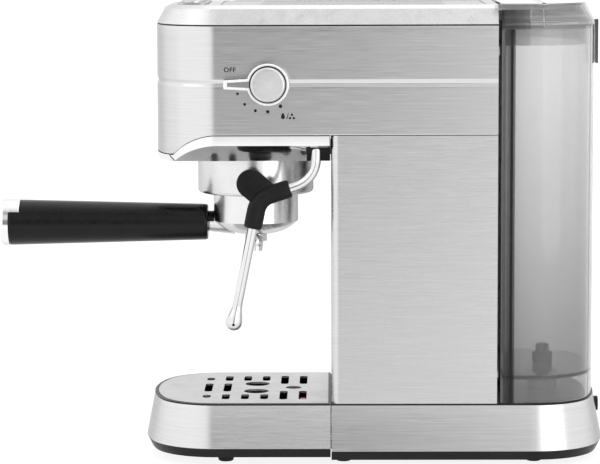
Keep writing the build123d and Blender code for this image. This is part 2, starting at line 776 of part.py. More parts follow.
def wand_socket():
    socket = socket_box(0, SOCKET_TOP_Z) - side_wedge(FACET_Z, FACET_RISE)
    return socket - upright(WAND_X, WAND_Y, 0, FAR, WAND_R + RUN)


def top_gasket():
    outer = prism(head_plan(GASKET_MARGIN), HEAD_TOP_Z, CAP_Z)
    inner = prism(head_plan(GASKET_MARGIN + GASKET_WIDTH), HEAD_TOP_Z, CAP_Z)
    return outer - (inner & ahead_of(BODY_BACK_Y - GASKET_WIDTH))


def cup_recess(shrink, z0, z1):
    half = BODY_HALF - CAP_SLOPE - CUP_MARGIN_X - shrink
    front = CUP_FRONT_Y + shrink
    back = BODY_BACK_Y - CUP_BACK_MARGIN - shrink
    return rounded_block(-half, half, front, back, z0, z1, CUP_MARGIN_X)


def panel_shape(grow, z0, z1):
    front = PANEL_CENTRE_Y - PANEL_DEPTH / 2 - grow
    back = PANEL_CENTRE_Y + PANEL_DEPTH / 2 + grow
    return rounded_block(-PANEL_HALF - grow, PANEL_HALF + grow, front, back, z0, z1, PANEL_CORNER_R + grow)


def button_x(index):
    return (index - (BUTTON_COUNT - 1) / 2) * BUTTON_PITCH


def button_holes(z0, z1):
    return [upright(button_x(i), PANEL_CENTRE_Y, z0, z1, BUTTON_R + FIT) for i in range(BUTTON_COUNT)]


def board_top_z():
    """Level of the board that leaves the buttons their travel above the switches."""
    return button_stem_z() - BUTTON_TRAVEL - SLIP - SWITCH_HEIGHT


def top_cap():
    """Sloped cover with a recess for the cup plate and posts for the circuit board."""
    slope_top = CAP_TOP_Z - CAP_EDGE
    cap = taper(head_plan(0), CAP_Z, head_plan(CAP_SLOPE), slope_top)
    cap += taper(head_plan(CAP_SLOPE), slope_top, head_plan(CAP_SLOPE + 2 * CAP_EDGE), CAP_TOP_Z)
    inside = taper(head_plan(CAP_WALL), CAP_Z, head_plan(CAP_SLOPE + CAP_WALL), CAP_CEILING_Z)
    cap -= inside & ahead_of(BODY_BACK_Y - CAP_WALL)
    cap -= cup_recess(0, CAP_TOP_Z - CUP_RECESS, CAP_TOP_Z)
    cap -= panel_shape(FIT, CAP_TOP_Z - PANEL_SUNK, CAP_TOP_Z)
    for hole in button_holes(CAP_CEILING_Z, CAP_TOP_Z):
        cap -= hole
    for y in board_post_ys():
        post = upright(BOARD_POST_X, y, board_top_z(), CAP_CEILING_Z + OVERLAP, BOARD_POST_R)
        cap += both_sides(post)
    return cap


def board_y():
    return PANEL_CENTRE_Y + BOARD_SETBACK


def board_post_ys():
    reach = BOARD_DEPTH / 2 - BOARD_POST_MARGIN_Y
    return board_y() - reach, board_y() + reach


def cup_plate():
    """Warming plate for cups, with long drain slots."""
    z0 = CAP_TOP_Z - CUP_RECESS
    plate = cup_recess(FIT, z0, z0 + CUP_PLATE)
    half = BODY_HALF - CAP_SLOPE - CUP_MARGIN_X
    length = BODY_BACK_Y - CUP_BACK_MARGIN - CUP_FRONT_Y
    middle = CUP_FRONT_Y + length / 2
    pitch = 2 * half / (CUP_SLOT_COUNT + 1)
    for index in range(CUP_SLOT_COUNT):
        x = (index + 1) * pitch - half
        shape = Pos(x, middle) * Rot(0, 0, 90) * SlotOverall(length * CUP_SLOT_SHARE, SLOT_WIDTH / 2)
        plate -= prism(shape, z0, z0 + CUP_PLATE)
    return plate


def control_panel():
    z0 = CAP_TOP_Z - PANEL_SUNK
    panel = panel_shape(0, z0, z0 + PANEL_THICK)
    for hole in button_holes(z0, z0 + PANEL_THICK):
        panel -= hole
    return panel


def button_stem_z():
    return CAP_CEILING_Z - FIT - BUTTON_FLANGE - BUTTON_STEM


def button(index):
    """Round cap with a flange that keeps it under the panel and a stem over its switch."""
    x = button_x(index)
    top = CAP_TOP_Z - PANEL_SUNK + PANEL_THICK + BUTTON_PROUD
    flange_top = CAP_CEILING_Z - FIT
    flange_z = flange_top - BUTTON_FLANGE
    cap = upright(x, PANEL_CENTRE_Y, flange_z, top, BUTTON_R)
    cap += upright(x, PANEL_CENTRE_Y, flange_z, flange_top, BUTTON_R + BUTTON_FLANGE)
    return cap + upright(x, PANEL_CENTRE_Y, button_stem_z(), flange_z, BUTTON_STEM_R)


def circuit_board():
    top = board_top_z()
    y0 = board_y() - BOARD_DEPTH / 2
    board = block(-BOARD_HALF, BOARD_HALF, y0, y0 + BOARD_DEPTH, top - BOARD, top)
    for index in range(BUTTON_COUNT):
        x = button_x(index)
        board += block(
            x - BUTTON_STEM_R, x + BUTTON_STEM_R,
            PANEL_CENTRE_Y - BUTTON_STEM_R, PANEL_CENTRE_Y + BUTTON_STEM_R,
            top, top + SWITCH_HEIGHT,
        )
    return board


# Brew group

def sector(centre_angle, half_angle, r):
    """Pie slice about the brew axis, in plan, wide enough for a radius of r."""
    reach = 2 * r
    angles = [radians(centre_angle + step * half_angle) for step in (-1, 0, 1)]
    corners = [(reach * cos(a), BREW_Y + reach * sin(a)) for a in angles]
    return make_face(Polyline((0, BREW_Y), *corners, close=True))


def brew_rod(z0, z1, r):
    return upright(0, BREW_Y, z0, z1, r)


def group_ring():
    body = brew_rod(RING_BOTTOM_Z, HEAD_UNDER_Z, RING_R)
    body = fillet(body.edges().sort_by(Axis.Z)[0], radius=RING_ROUND)
    return body - brew_rod(RING_BOTTOM_Z, HEAD_UNDER_Z, RING_R - RING_WALL)


def group_head():
    """Bell with a seal groove, a boss for the screen, and ramps that hold the portafilter's lugs."""
    bell_r = RING_R - RING_WALL - FIT
    bottom = RAMP_TOP_Z - RAMP
    chamber_r = bell_r - BELL_WALL
    head = brew_rod(bottom, HEAD_UNDER_Z - FIT, bell_r) + brew_rod(bottom, GROUP_TOP_Z, NECK_R)
    head -= brew_rod(bottom, SEAL_Z, CUP_R + SLIP)
    head -= brew_rod(RAMP_TOP_Z, SEAL_Z, chamber_r)
    for angle in (-UNLOCK_ANGLE, 180 - UNLOCK_ANGLE):
        window = prism(sector(angle, LUG_HALF_ANGLE + WINDOW_EXTRA, chamber_r), bottom, RAMP_TOP_Z)
        head -= window & brew_rod(bottom, RAMP_TOP_Z, chamber_r)
    head -= ring(0, BREW_Y, SEAL_Z, SEAL_Z + SEAL_HEIGHT, SEAL_OUTER_R + FIT, SEAL_INNER_R - FIT)
    boss_z = screen_top_z()
    head += brew_rod(boss_z, SEAL_Z + OVERLAP, SCREEN_BOSS_R)
    return head - brew_rod(boss_z, boss_z + SCREEN_SCREW_LENGTH, SCREW_R + FIT)


def group_gasket():
    return ring(0, BREW_Y, SEAL_Z, SEAL_Z + SEAL_HEIGHT, SEAL_OUTER_R, SEAL_INNER_R)


def screen_top_z():
    return BASKET_TOP_Z - SCREEN_DROP


def shower_screen():
    z1 = screen_top_z()
    screen = brew_rod(z1 - SCREEN, z1, SCREEN_R) - brew_rod(z1 - SCREEN, z1, SCREW_R + FIT)
    for count, radius in zip(SCREEN_ROW_COUNTS, SCREEN_ROW_R):
        for index in range(count):
            angle = 2 * pi * index / count
            place = (radius * cos(angle), BREW_Y + radius * sin(angle))
            screen -= upright(*place, z1 - SCREEN, z1, SCREEN_HOLE_R)
    return screen


def screen_screw():
    z = screen_top_z() - SCREEN
    screw = brew_rod(z - SCREEN_SCREW_HEAD, z, SCREEN_SCREW_HEAD_R)
    return screw + brew_rod(z, z + SCREEN_SCREW_LENGTH - FIT, SCREW_R)


def thermoblock():
    z0 = GROUP_TOP_Z
    body = block(-BLOCK_HALF, BLOCK_HALF, BLOCK_FRONT_Y, BLOCK_FRONT_Y + BLOCK_DEPTH, z0, BLOCK_TOP_Z)
    body = fillet(body.edges().filter_by(Axis.Z), radius=BLOCK_ROUND)
    for x, y in block_corners():
        body += upright(x, y, CHASSIS_TOP_Z, z0 + OVERLAP, BLOCK_LEG_R)
    return body


def block_corners():
    x = BLOCK_HALF - BLOCK_LEG_MARGIN
    y = BLOCK_DEPTH / 2 - BLOCK_LEG_MARGIN
    return [(i * x, BREW_Y + j * y) for i in (-1, 1) for j in (-1, 1)]


def thermoblock_bolts():
    heads = [upright(x, y, BLOCK_TOP_Z, BLOCK_TOP_Z + BOLT_HEAD, BOLT_R) for x, y in block_corners()]
    return Compound(heads)


# Portafilter

def portafilter_cup():
    """Cup with a domed floor, two lugs and the neck that takes the handle's stud."""
    dome_z = CUP_BOTTOM_Z - CUP_DOME
    outline = [
        Line((0, dome_z), (SPOUT_SEAT_R, dome_z)),
        TangentArc((SPOUT_SEAT_R, dome_z), (CUP_R, CUP_BOTTOM_Z), tangent=(1, 0)),
        Line((CUP_R, CUP_BOTTOM_Z), (CUP_R, CUP_RIM_Z)),
        Line((CUP_R, CUP_RIM_Z), (0, CUP_RIM_Z)),
        Line((0, CUP_RIM_Z), (0, dome_z)),
    ]
    cup = Pos(0, BREW_Y, 0) * revolve(Plane.XZ * make_face(outline), axis=Axis.Z)
    lugs = brew_rod(LUG_Z, LUG_TOP_Z, LUG_REACH)
    for angle in (0, 180):
        cup += lugs & prism(sector(angle, LUG_HALF_ANGLE, LUG_REACH), LUG_Z, LUG_TOP_Z)
    neck_tip = HANDLE_FRONT_Y
    neck_root = BREW_Y - CUP_R / 2
    neck = Cone(NECK_ROOT_R, NECK_TIP_R, neck_root - neck_tip)
    cup += Pos(0, (neck_root + neck_tip) / 2, HANDLE_Z) * Rot(90, 0, 0) * neck
    cup -= brew_rod(CUP_BOTTOM_Z + CUP_FLOOR, CUP_RIM_Z, CUP_R - CUP_WALL)
    cup -= along_y(0, neck_tip, neck_tip + STUD_IN_NECK, HANDLE_Z, STUD_R + FIT)
    return cup - brew_rod(dome_z, CUP_BOTTOM_Z + CUP_FLOOR, SPOUT_BORE_R)


def filter_basket():
    bottom = CUP_RIM_Z - BASKET_DEPTH
    basket = brew_rod(bottom, CUP_RIM_Z, BASKET_R)
    basket += brew_rod(CUP_RIM_Z, BASKET_TOP_Z, CUP_R - FIT)
    return basket - brew_rod(bottom + BASKET_SHEET, BASKET_TOP_Z, BASKET_R - BASKET_SHEET)


def basket_spring():
    """Open wire ring between the basket and the cup."""
    radius = (BASKET_R + CUP_R - CUP_WALL) / 2
    loop = Torus(radius, SPRING_WIRE_R)
    gap = prism(sector(90, SPRING_GAP_ANGLE / 2, radius), CUP_BOTTOM_Z, CUP_RIM_Z)
    return Pos(0, BREW_Y, CUP_RIM_Z - SPRING_DROP) * loop - gap


def spout():
    """Cross tube under the cup with two mouths turned down."""
    top = CUP_BOTTOM_Z - CUP_DOME
    mouth = top - SPOUT_DROP
    axis_z = top - SPOUT_R
    body = along_x(-SPOUT_SPREAD, SPOUT_SPREAD, BREW_Y, axis_z, SPOUT_R)
    bore = along_x(-SPOUT_SPREAD, SPOUT_SPREAD, BREW_Y, axis_z, SPOUT_BORE_R)
    bore += brew_rod(axis_z, top, SPOUT_BORE_R)
    body += brew_rod(axis_z, top, SPOUT_SEAT_R - FIT)
    for x in (-SPOUT_SPREAD, SPOUT_SPREAD):
        body += Pos(x, BREW_Y, axis_z) * Sphere(SPOUT_R)
        body += upright(x, BREW_Y, mouth, axis_z, SPOUT_TIP_R)
        bore += upright(x, BREW_Y, mouth, axis_z, SPOUT_BORE_R)
    return body - bore


def handle_form():
    cone = Cone(HANDLE_R, HANDLE_END_R, HANDLE_LENGTH)
    cone = fillet(cone.edges().filter_by(GeomType.CIRCLE), radius=HANDLE_EDGE)
    return Pos(0, (HANDLE_FRONT_Y + HANDLE_END_Y) / 2, HANDLE_Z) * Rot(90, 0, 0) * cone


def handle_cap_zone(grow):
    cap_back = HANDLE_END_Y + HANDLE_CAP + grow
    tongue_back = HANDLE_END_Y + TONGUE_LENGTH + grow
    return ahead_of(cap_back) + block(
        -FAR, FAR, HANDLE_END_Y - FAR, tongue_back, HANDLE_Z + TONGUE_RISE - grow, FAR,
    )


def handle_bore(r, length):
    return along_y(0, HANDLE_FRONT_Y - length, HANDLE_FRONT_Y, HANDLE_Z, r)


def handle():
    grip = handle_form() - handle_cap_zone(FIT)
    return grip - handle_bore(STUD_R + FIT, STUD_LENGTH - STUD_IN_NECK + FIT)


def handle_cap():
    return handle_form() & handle_cap_zone(0)


def handle_stud():
    end = HANDLE_FRONT_Y - STUD_LENGTH + STUD_IN_NECK
    return along_y(0, end, HANDLE_FRONT_Y + STUD_IN_NECK, HANDLE_Z, STUD_R)


# Steam knob

def pointer_face(shrink):
    """Tapered pointer towards the front, in the knob's plane."""
    tip = KNOB_Y - POINTER_REACH + shrink
    root = KNOB_Y
    return Plane.YZ * make_face(Polyline(
        (tip, KNOB_Z - POINTER_TIP_HALF + shrink),
        (tip, KNOB_Z + POINTER_TIP_HALF - shrink),
        (root, KNOB_Z + POINTER_ROOT_HALF - shrink),
        (root, KNOB_Z - POINTER_ROOT_HALF + shrink),
        close=True,
    ))


def knob_body():
    face_x = KNOB_FACE_X - POINTER_FRONT
    back_x = KNOB_BACK_X + POINTER_BACK
    pointer = extrude(Pos(back_x, 0, 0) * pointer_face(0), amount=face_x - back_x, dir=(1, 0, 0))
    recess_x = face_x - POINTER_RECESS
    recess = extrude(Pos(recess_x, 0, 0) * pointer_face(KNOB_BORDER), amount=FAR, dir=(1, 0, 0))
    drum = along_x(KNOB_BACK_X, KNOB_FACE_X, KNOB_Y, KNOB_Z, KNOB_R)
    knob = (pointer - recess) + drum
    knob -= along_x(KNOB_FACE_X - KNOB_DISC_DEPTH, KNOB_FACE_X, KNOB_Y, KNOB_Z, KNOB_DISC_R + FIT)
    return knob - along_x(KNOB_BACK_X, KNOB_BACK_X + STEM_IN_KNOB, KNOB_Y, KNOB_Z, STEM_R + RUN)


def knob_disc():
    face_x = KNOB_FACE_X + KNOB_DISC_PROUD
    disc = along_x(KNOB_FACE_X - KNOB_DISC_DEPTH, face_x, KNOB_Y, KNOB_Z, KNOB_DISC_R)
    return fillet(disc.edges().sort_by(Axis.X)[-1], radius=KNOB_DISC_ROUND)


def valve_stem():
    return along_x(BLOCK_HALF + BRACKET, KNOB_BACK_X + STEM_IN_KNOB, KNOB_Y, KNOB_Z, STEM_R)


def steam_valve():
    """Block on the thermoblock's right side, bored for the stem."""
    valve = block(
        BLOCK_HALF, VALVE_END_X,
        KNOB_Y - VALVE_WIDTH / 2, KNOB_Y + VALVE_WIDTH / 2,
        KNOB_Z - VALVE_HEIGHT / 2, KNOB_Z + VALVE_HEIGHT / 2,
    )
    return valve - along_x(BLOCK_HALF + BRACKET, FAR, KNOB_Y, KNOB_Z, STEM_R + RUN)


def steam_pipe():
    x = VALVE_END_X - STEAM_PIPE_BEND
    top = KNOB_Z - VALVE_HEIGHT / 2
    run_z = top - STEAM_PIPE_DROP
    path = FilletPolyline(
        (x, KNOB_Y, top),
        (x, KNOB_Y, run_z),
        (WAND_X, WAND_Y, run_z),
        (WAND_X, WAND_Y, WAND_TOP_Z + FIT),
        radius=STEAM_PIPE_BEND,
    )
    return tube(path, STEAM_PIPE_R)


# Steam wand

def wand_direction():
    """Unit vector of the run from the bend to the tip."""
    return (Vector(0, WAND_TIP_Y, WAND_TIP_Z) - Vector(0, WAND_BEND_Y, WAND_BEND_Z)).normalized()


def wand_forward():
    """Unit vector of the run from the knee to the bend."""
    return (Vector(0, WAND_BEND_Y, WAND_BEND_Z) - Vector(0, WAND_Y, WAND_KNEE_Z)).normalized()


def wand_bend():
    return Vector(WAND_X, WAND_BEND_Y, WAND_BEND_Z)


def tube_end():
    return Vector(WAND_X, WAND_TIP_Y, WAND_TIP_Z) - wand_direction() * TIP_LENGTH


def wand_pipe():
    path = FilletPolyline(
        (WAND_X, WAND_Y, WAND_TOP_Z),
        (WAND_X, WAND_Y, WAND_KNEE_Z),
        wand_bend(),
        tube_end(),
        radius=(WAND_KNEE_R, WAND_BEND_R),
    )
    collar_z = SOCKET_TOP_Z + FIT
    collar = upright(WAND_X, WAND_Y, collar_z, collar_z + WAND_COLLAR, WAND_COLLAR_R)
    return tube(path, WAND_R) + collar


def wand_grip():
    """Sleeve round the bend with a flat thumb paddle that fans out from it."""
    start = wand_bend() - wand_forward() * GRIP_BEFORE
    end = wand_bend() + wand_direction() * GRIP_AFTER
    sleeve_path = FilletPolyline(start, wand_bend(), end, radius=WAND_BEND_R)
    bore_path = FilletPolyline(
        start - wand_forward(), wand_bend(), end + wand_direction(), radius=WAND_BEND_R,
    )
    root = wand_bend() + (wand_direction() - wand_forward()) * (PADDLE_ROOT_R / 2)
    web = wand_bend() - wand_forward() * PADDLE_WEB
    paddle_edges = (Pos(PADDLE_Y, PADDLE_Z) * Circle(PADDLE_R)).edges()
    root_edges = (Pos(root.Y, root.Z) * Circle(PADDLE_ROOT_R)).edges()
    web_edges = (Pos(web.Y, web.Z) * Circle(PADDLE_ROOT_R)).edges()
    outline = Plane.YZ * make_hull(paddle_edges + root_edges + web_edges)
    paddle = extrude(
        Pos(WAND_X - PADDLE_THICK / 2, 0, 0) * outline, amount=PADDLE_THICK, dir=(1, 0, 0),
    )
    return tube(sleeve_path, GRIP_R) + paddle - tube(bore_path, WAND_R + FIT / 2)


def wand_tip():
    """Nozzle that flares from the pipe to a round end."""
    shoulder = TIP_LENGTH - TIP_R
    slant = radians(45)
    outline = [
        Line((0, 0), (WAND_R, 0)),
        Line((WAND_R, 0), (TIP_R, shoulder)),
        ThreePointArc(
            (TIP_R, shoulder),
            (TIP_R * sin(slant), shoulder + TIP_R * cos(slant)),
            (0, TIP_LENGTH),
        ),
        Line((0, TIP_LENGTH), (0, 0)),
    ]
    bulb = revolve(Plane.XZ * make_face(outline), axis=Axis.Z)
    return Plane(origin=tube_end(), z_dir=wand_direction()).location * bulb


# Pump and hoses

def pump():
    body = block(
        -PUMP_HALF, PUMP_HALF, PUMP_Y - PUMP_HALF, PUMP_Y + PUMP_HALF,
        PUMP_BOTTOM_Z, PUMP_BOTTOM_Z + PUMP_HEIGHT,
    )
    body += upright(0, PUMP_Y, PUMP_BOTTOM_Z - PUMP_INLET, PUMP_BOTTOM_Z, PUMP_INLET_R)
    top = PUMP_BOTTOM_Z + PUMP_HEIGHT
    return body + upright(0, PUMP_Y, top, top + PUMP_OUTLET, PUMP_OUTLET_R)


def pump_pads():
    middle = PUMP_BOTTOM_Z + PUMP_HEIGHT / 2
    pad = block(
        PUMP_HALF, PUMP_HALF + MOUNT_PAD,
        PUMP_Y - MOUNT_PAD_HALF, PUMP_Y + MOUNT_PAD_HALF,
        middle - MOUNT_PAD_HALF, middle + MOUNT_PAD_HALF,
    )
    return Compound([pad, mirror(pad, about=Plane.YZ)])


def pump_bracket():
    """Folded cradle that stands on the deck and holds the pump between rubber pads."""
    inner = PUMP_HALF + MOUNT_PAD
    outer = inner + BRACKET
    y0 = PUMP_Y - BRACKET_HALF_DEPTH
    y1 = PUMP_Y + BRACKET_HALF_DEPTH
    cradle = block(-outer, outer, y0, y1, TRIM_TOP_Z, TRIM_TOP_Z + BRACKET)
    cradle += both_sides(block(inner, outer, y0, y1, TRIM_TOP_Z, PUMP_BOTTOM_Z + PUMP_HEIGHT))
    return cradle - upright(0, PUMP_Y, TRIM_TOP_Z, TRIM_TOP_Z + BRACKET, HOSE_R + SLIP)


def inlet_hose():
    path = FilletPolyline(
        (0, PORT_Y, TRIM_TOP_Z - PORT_STUB),
        (0, PORT_Y, HOSE_RUN_Z),
        (0, PUMP_Y, HOSE_RUN_Z),
        (0, PUMP_Y, PUMP_BOTTOM_Z - PUMP_INLET),
        radius=HOSE_BEND,
    )
    return tube(path, HOSE_R)


def pressure_hose():
    path = FilletPolyline(
        (0, PUMP_Y, PUMP_BOTTOM_Z + PUMP_HEIGHT + PUMP_OUTLET),
        (0, PUMP_Y, PRESSURE_HOSE_Z),
        (0, BLOCK_FRONT_Y + BLOCK_DEPTH, PRESSURE_HOSE_Z),
        radius=PRESSURE_HOSE_BEND,
    )
    return tube(path, PRESSURE_HOSE_R)


# Water tank

def tank_plan(inset, front_inset):
    front = TANK_FRONT_Y + front_inset
    return plan(TANK_HALF, front, TANK_BACK_Y, inset, front_round=False)


def tank_body():
    """Open vessel on a skirt, with an outlet nozzle under its floor."""
    inside = tank_plan(TANK_WALL, TANK_WALL)
    bottom = TRIM_TOP_Z + FIT
    floor_top = TANK_FLOOR_Z + TANK_FLOOR
    body = prism(tank_plan(0, 0), bottom, TANK_TOP_Z)
    body -= prism(inside, bottom, TANK_FLOOR_Z)
    body -= prism(inside, floor_top, TANK_TOP_Z)
    body += upright(0, PORT_Y, NOZZLE_END_Z, TANK_FLOOR_Z, NOZZLE_R)
    body -= upright(0, PORT_Y, NOZZLE_END_Z + NOZZLE_LIP, floor_top, NOZZLE_BORE_R)
    return body - upright(0, PORT_Y, NOZZLE_END_Z, floor_top, NOZZLE_LIP_R)


def tank_port():
    """Cup on the deck that the nozzle drops into, with the pin that lifts the valve."""
    top = TRIM_TOP_Z + PORT_HEIGHT
    floor = TRIM_TOP_Z + PORT_FLOOR
    stub = TRIM_TOP_Z - PORT_STUB
    port = upright(0, PORT_Y, TRIM_TOP_Z, top, PORT_R)
    port -= upright(0, PORT_Y, floor, top, NOZZLE_R + SLIP)
    port -= upright(0, PORT_Y, port_seal_z(), top, NOZZLE_R + FIT + PORT_SEAL_WALL + FIT)
    port += upright(0, PORT_Y, stub, TRIM_TOP_Z, PORT_STUB_R)
    port += upright(0, PORT_Y, floor, floor + PORT_PIN, PORT_PIN_R)
    return port - upright(PORT_WATER_X, PORT_Y, stub, floor, PORT_WATER_R)


def port_seal_z():
    return TRIM_TOP_Z + PORT_HEIGHT - PORT_SEAL_HEIGHT - 2 * FIT


def port_seal():
    inner = NOZZLE_R + FIT
    z = port_seal_z()
    return ring(0, PORT_Y, z, z + PORT_SEAL_HEIGHT, inner + PORT_SEAL_WALL, inner)


def tank_valve():
    """Poppet in the nozzle, held up by the port's pin while the tank is in place."""
    z = TRIM_TOP_Z + PORT_FLOOR + PORT_PIN + FIT
    return upright(0, PORT_Y, z, z + POPPET_HEIGHT, POPPET_R)


def tank_filter():
    z = TANK_FLOOR_Z + TANK_FLOOR
    top = z + FILTER_HEIGHT
    cage = upright(0, PORT_Y, z, top, FILTER_R)
    cage -= upright(0, PORT_Y, z, top - FILTER_WALL, FILTER_R - FILTER_WALL)
    for index in range(FILTER_SLOT_COUNT):
        turn = Pos(0, PORT_Y, 0) * Rot(0, 0, 180 * index / FILTER_SLOT_COUNT)
        cage -= turn * block(
            -FILTER_R, FILTER_R, -FILTER_WALL / 2, FILTER_WALL / 2, z + FILTER_BAND, top - FILTER_BAND,
        )
    return cage


def lid_plan(inset, front_inset):
    front = TANK_FRONT_Y + front_inset
    return plan(LID_HALF, front, LID_BACK_Y, inset, front_round=False)


def lid_shell():
    """Whole sloped cover of the tank, before it is parted at the hinge."""
    skirt_top = LID_Z + LID_SKIRT
    slope_top = LID_TOP_Z - LID_EDGE
    shell = prism(lid_plan(0, 0), LID_Z, skirt_top)
    shell += taper(lid_plan(0, 0), skirt_top, lid_plan(LID_SLOPE, 0), slope_top)
    shell += taper(lid_plan(LID_SLOPE, 0), slope_top, lid_plan(LID_SLOPE + LID_EDGE, 0), LID_TOP_Z)
    shell -= prism(lid_plan(LID_WALL, LID_WALL), LID_Z, skirt_top)
    inner_top = lid_plan(LID_SLOPE + LID_WALL, LID_WALL)
    return shell - taper(lid_plan(LID_WALL, LID_WALL), skirt_top, inner_top, LID_ROOF_Z)


def barrel(x0, x1, web_y):
    """Stretch of hinge barrel with its web to the cover at web_y."""
    low, high = sorted((HINGE_Y, web_y))
    web = block(x0, x1, low, high, LID_ROOF_Z, HINGE_Z)
    return along_x(x0, x1, HINGE_Y, HINGE_Z, BARREL_R) + web


def hinge_bore():
    return along_x(-FAR, FAR, HINGE_Y, HINGE_Z, LID_PIN_R + RUN)


def hinge_reach():
    return BARREL_R + HINGE_GAP


def below_hinge():
    """Where the two parts of the cover meet closely, clear of the turning barrel."""
    return block(-FAR, FAR, -FAR, FAR, 0, HINGE_Z - hinge_reach())


def tank_top():
    """Fixed front of the cover, with the collar that fits inside the tank's mouth."""
    front_y = HINGE_Y - hinge_reach()
    cover = lid_shell() & (ahead_of(front_y) + (ahead_of(HINGE_Y - FIT) & below_hinge()))
    flange_top = TANK_TOP_Z + COLLAR_FLANGE
    collar_inset = TANK_WALL + FIT
    opening = collar_inset + COLLAR_WALL
    collar = prism(tank_plan(collar_inset, collar_inset), TANK_TOP_Z - COLLAR_DEPTH, TANK_TOP_Z)
    collar += prism(tank_plan(0, 0), TANK_TOP_Z, flange_top)
    collar -= prism(tank_plan(opening, opening), TANK_TOP_Z - COLLAR_DEPTH, flange_top)
    skirt = prism(lid_plan(0, 0), flange_top - FIT, LID_Z)
    skirt -= prism(lid_plan(LID_WALL, LID_WALL), flange_top - FIT, LID_Z)
    cover += skirt & ahead_of(HINGE_Y - FIT)
    inner = KNUCKLE_X - KNUCKLE_HALF - HINGE_GAP
    outer = KNUCKLE_X + KNUCKLE_HALF + HINGE_GAP
    web_y = front_y - LID_WALL
    cover += barrel(-inner, inner, web_y) + both_sides(barrel(outer, BARREL_END_X, web_y))
    return collar + cover - hinge_bore()


def tank_lid():
    """Filler flap behind the hinge, with the tab that lifts it."""
    front_y = HINGE_Y + hinge_reach()
    flap = lid_shell() & (behind(front_y) + (behind(HINGE_Y + FIT) & below_hinge()))
    inner = KNUCKLE_X - KNUCKLE_HALF
    outer = KNUCKLE_X + KNUCKLE_HALF
    flap += both_sides(barrel(inner, outer, front_y + LID_WALL))
    tab_y = TANK_BACK_Y + TAB_STANDOFF
    web_z = LID_Z + FIT
    flap += block(-TAB_HALF, TAB_HALF, tab_y, tab_y + TAB_THICK, TAB_BOTTOM_Z, web_z + TAB_WEB)
    flap += block(-TAB_HALF, TAB_HALF, LID_BACK_Y - 2 * LID_WALL, tab_y + TAB_THICK, web_z, web_z + TAB_WEB)
    return flap - hinge_bore()


def lid_pins():
    pin = along_x(KNUCKLE_X - PIN_REACH, KNUCKLE_X + PIN_REACH, HINGE_Y, HINGE_Z, LID_PIN_R)
    return Compound([pin, mirror(pin, about=Plane.YZ)])


PIECES = {
    "base_pan": base_pan,
    "base_feet": base_feet,
    "base_shell": base_shell,
    "base_deck": base_deck,
    "cord_gland": cord_gland,
    "tray_basin": tray_basin,
    "tray_shell": tray_shell,
    "tray_feet": tray_feet,
    "drip_plate": drip_plate,
    "tray_float": tray_float,
    "column_skin": column_skin,
    "back_panel": back_panel,
    "case_screws": case_screws,
    "chassis": chassis,
    "head_skin": head_skin,
    "head_bottom": head_bottom,
    "wand_socket": wand_socket,
    "top_gasket": top_gasket,
    "top_cap": top_cap,
    "cup_plate": cup_plate,
    "control_panel": control_panel,
    "button_single": lambda: button(0),
    "button_double": lambda: button(1),
    "button_steam": lambda: button(2),
    "circuit_board": circuit_board,
    "group_ring": group_ring,
    "group_head": group_head,
    "group_gasket": group_gasket,
    "shower_screen": shower_screen,
    "screen_screw": screen_screw,
    "thermoblock": thermoblock,
    "thermoblock_bolts": thermoblock_bolts,
    "portafilter_cup": portafilter_cup,
    "filter_basket": filter_basket,
    "basket_spring": basket_spring,
    "spout": spout,
    "handle": handle,
    "handle_cap": handle_cap,
    "handle_stud": handle_stud,
    "knob_body": knob_body,
    "knob_disc": knob_disc,
    "valve_stem": valve_stem,
    "steam_valve": steam_valve,
    "steam_pipe": steam_pipe,
    "wand_pipe": wand_pipe,
    "wand_grip": wand_grip,
    "wand_tip": wand_tip,
    "pump": pump,
    "pump_pads": pump_pads,
    "pump_bracket": pump_bracket,
    "inlet_hose": inlet_hose,
    "pressure_hose": pressure_hose,
    "tank_body": tank_body,
    "tank_port": tank_port,
    "port_seal": port_seal,
    "tank_valve": tank_valve,
    "tank_filter": tank_filter,
    "tank_top": tank_top,
    "tank_lid": tank_lid,
    "lid_pins": lid_pins,
}

os.makedirs("parts", exist_ok=True)
for name, make in PIECES.items():
    export_step(make(), f"parts/{name}.step")
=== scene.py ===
from math import asin, cos, pi, radians, sin

import bmesh
import bpy
import numpy as np
from mathutils import Matrix, Vector


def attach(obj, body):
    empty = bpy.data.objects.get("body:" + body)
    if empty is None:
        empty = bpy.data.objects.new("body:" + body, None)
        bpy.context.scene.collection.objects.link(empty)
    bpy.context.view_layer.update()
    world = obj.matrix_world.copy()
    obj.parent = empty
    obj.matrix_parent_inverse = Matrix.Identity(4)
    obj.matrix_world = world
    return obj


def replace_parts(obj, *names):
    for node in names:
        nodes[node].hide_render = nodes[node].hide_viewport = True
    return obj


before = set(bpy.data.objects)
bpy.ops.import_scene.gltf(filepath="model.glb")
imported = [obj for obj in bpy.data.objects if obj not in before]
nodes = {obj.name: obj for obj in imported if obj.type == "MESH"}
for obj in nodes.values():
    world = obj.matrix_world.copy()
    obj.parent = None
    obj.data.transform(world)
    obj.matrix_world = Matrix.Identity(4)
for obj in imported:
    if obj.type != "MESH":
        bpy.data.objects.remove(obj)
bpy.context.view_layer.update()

# Feet. Soft rubber buttons pressed into holes, four under the base pan and two under the drip tray.
# They are moulded with a draft, so each narrows towards the floor, and its lower edge is rounded.
MM = 0.001


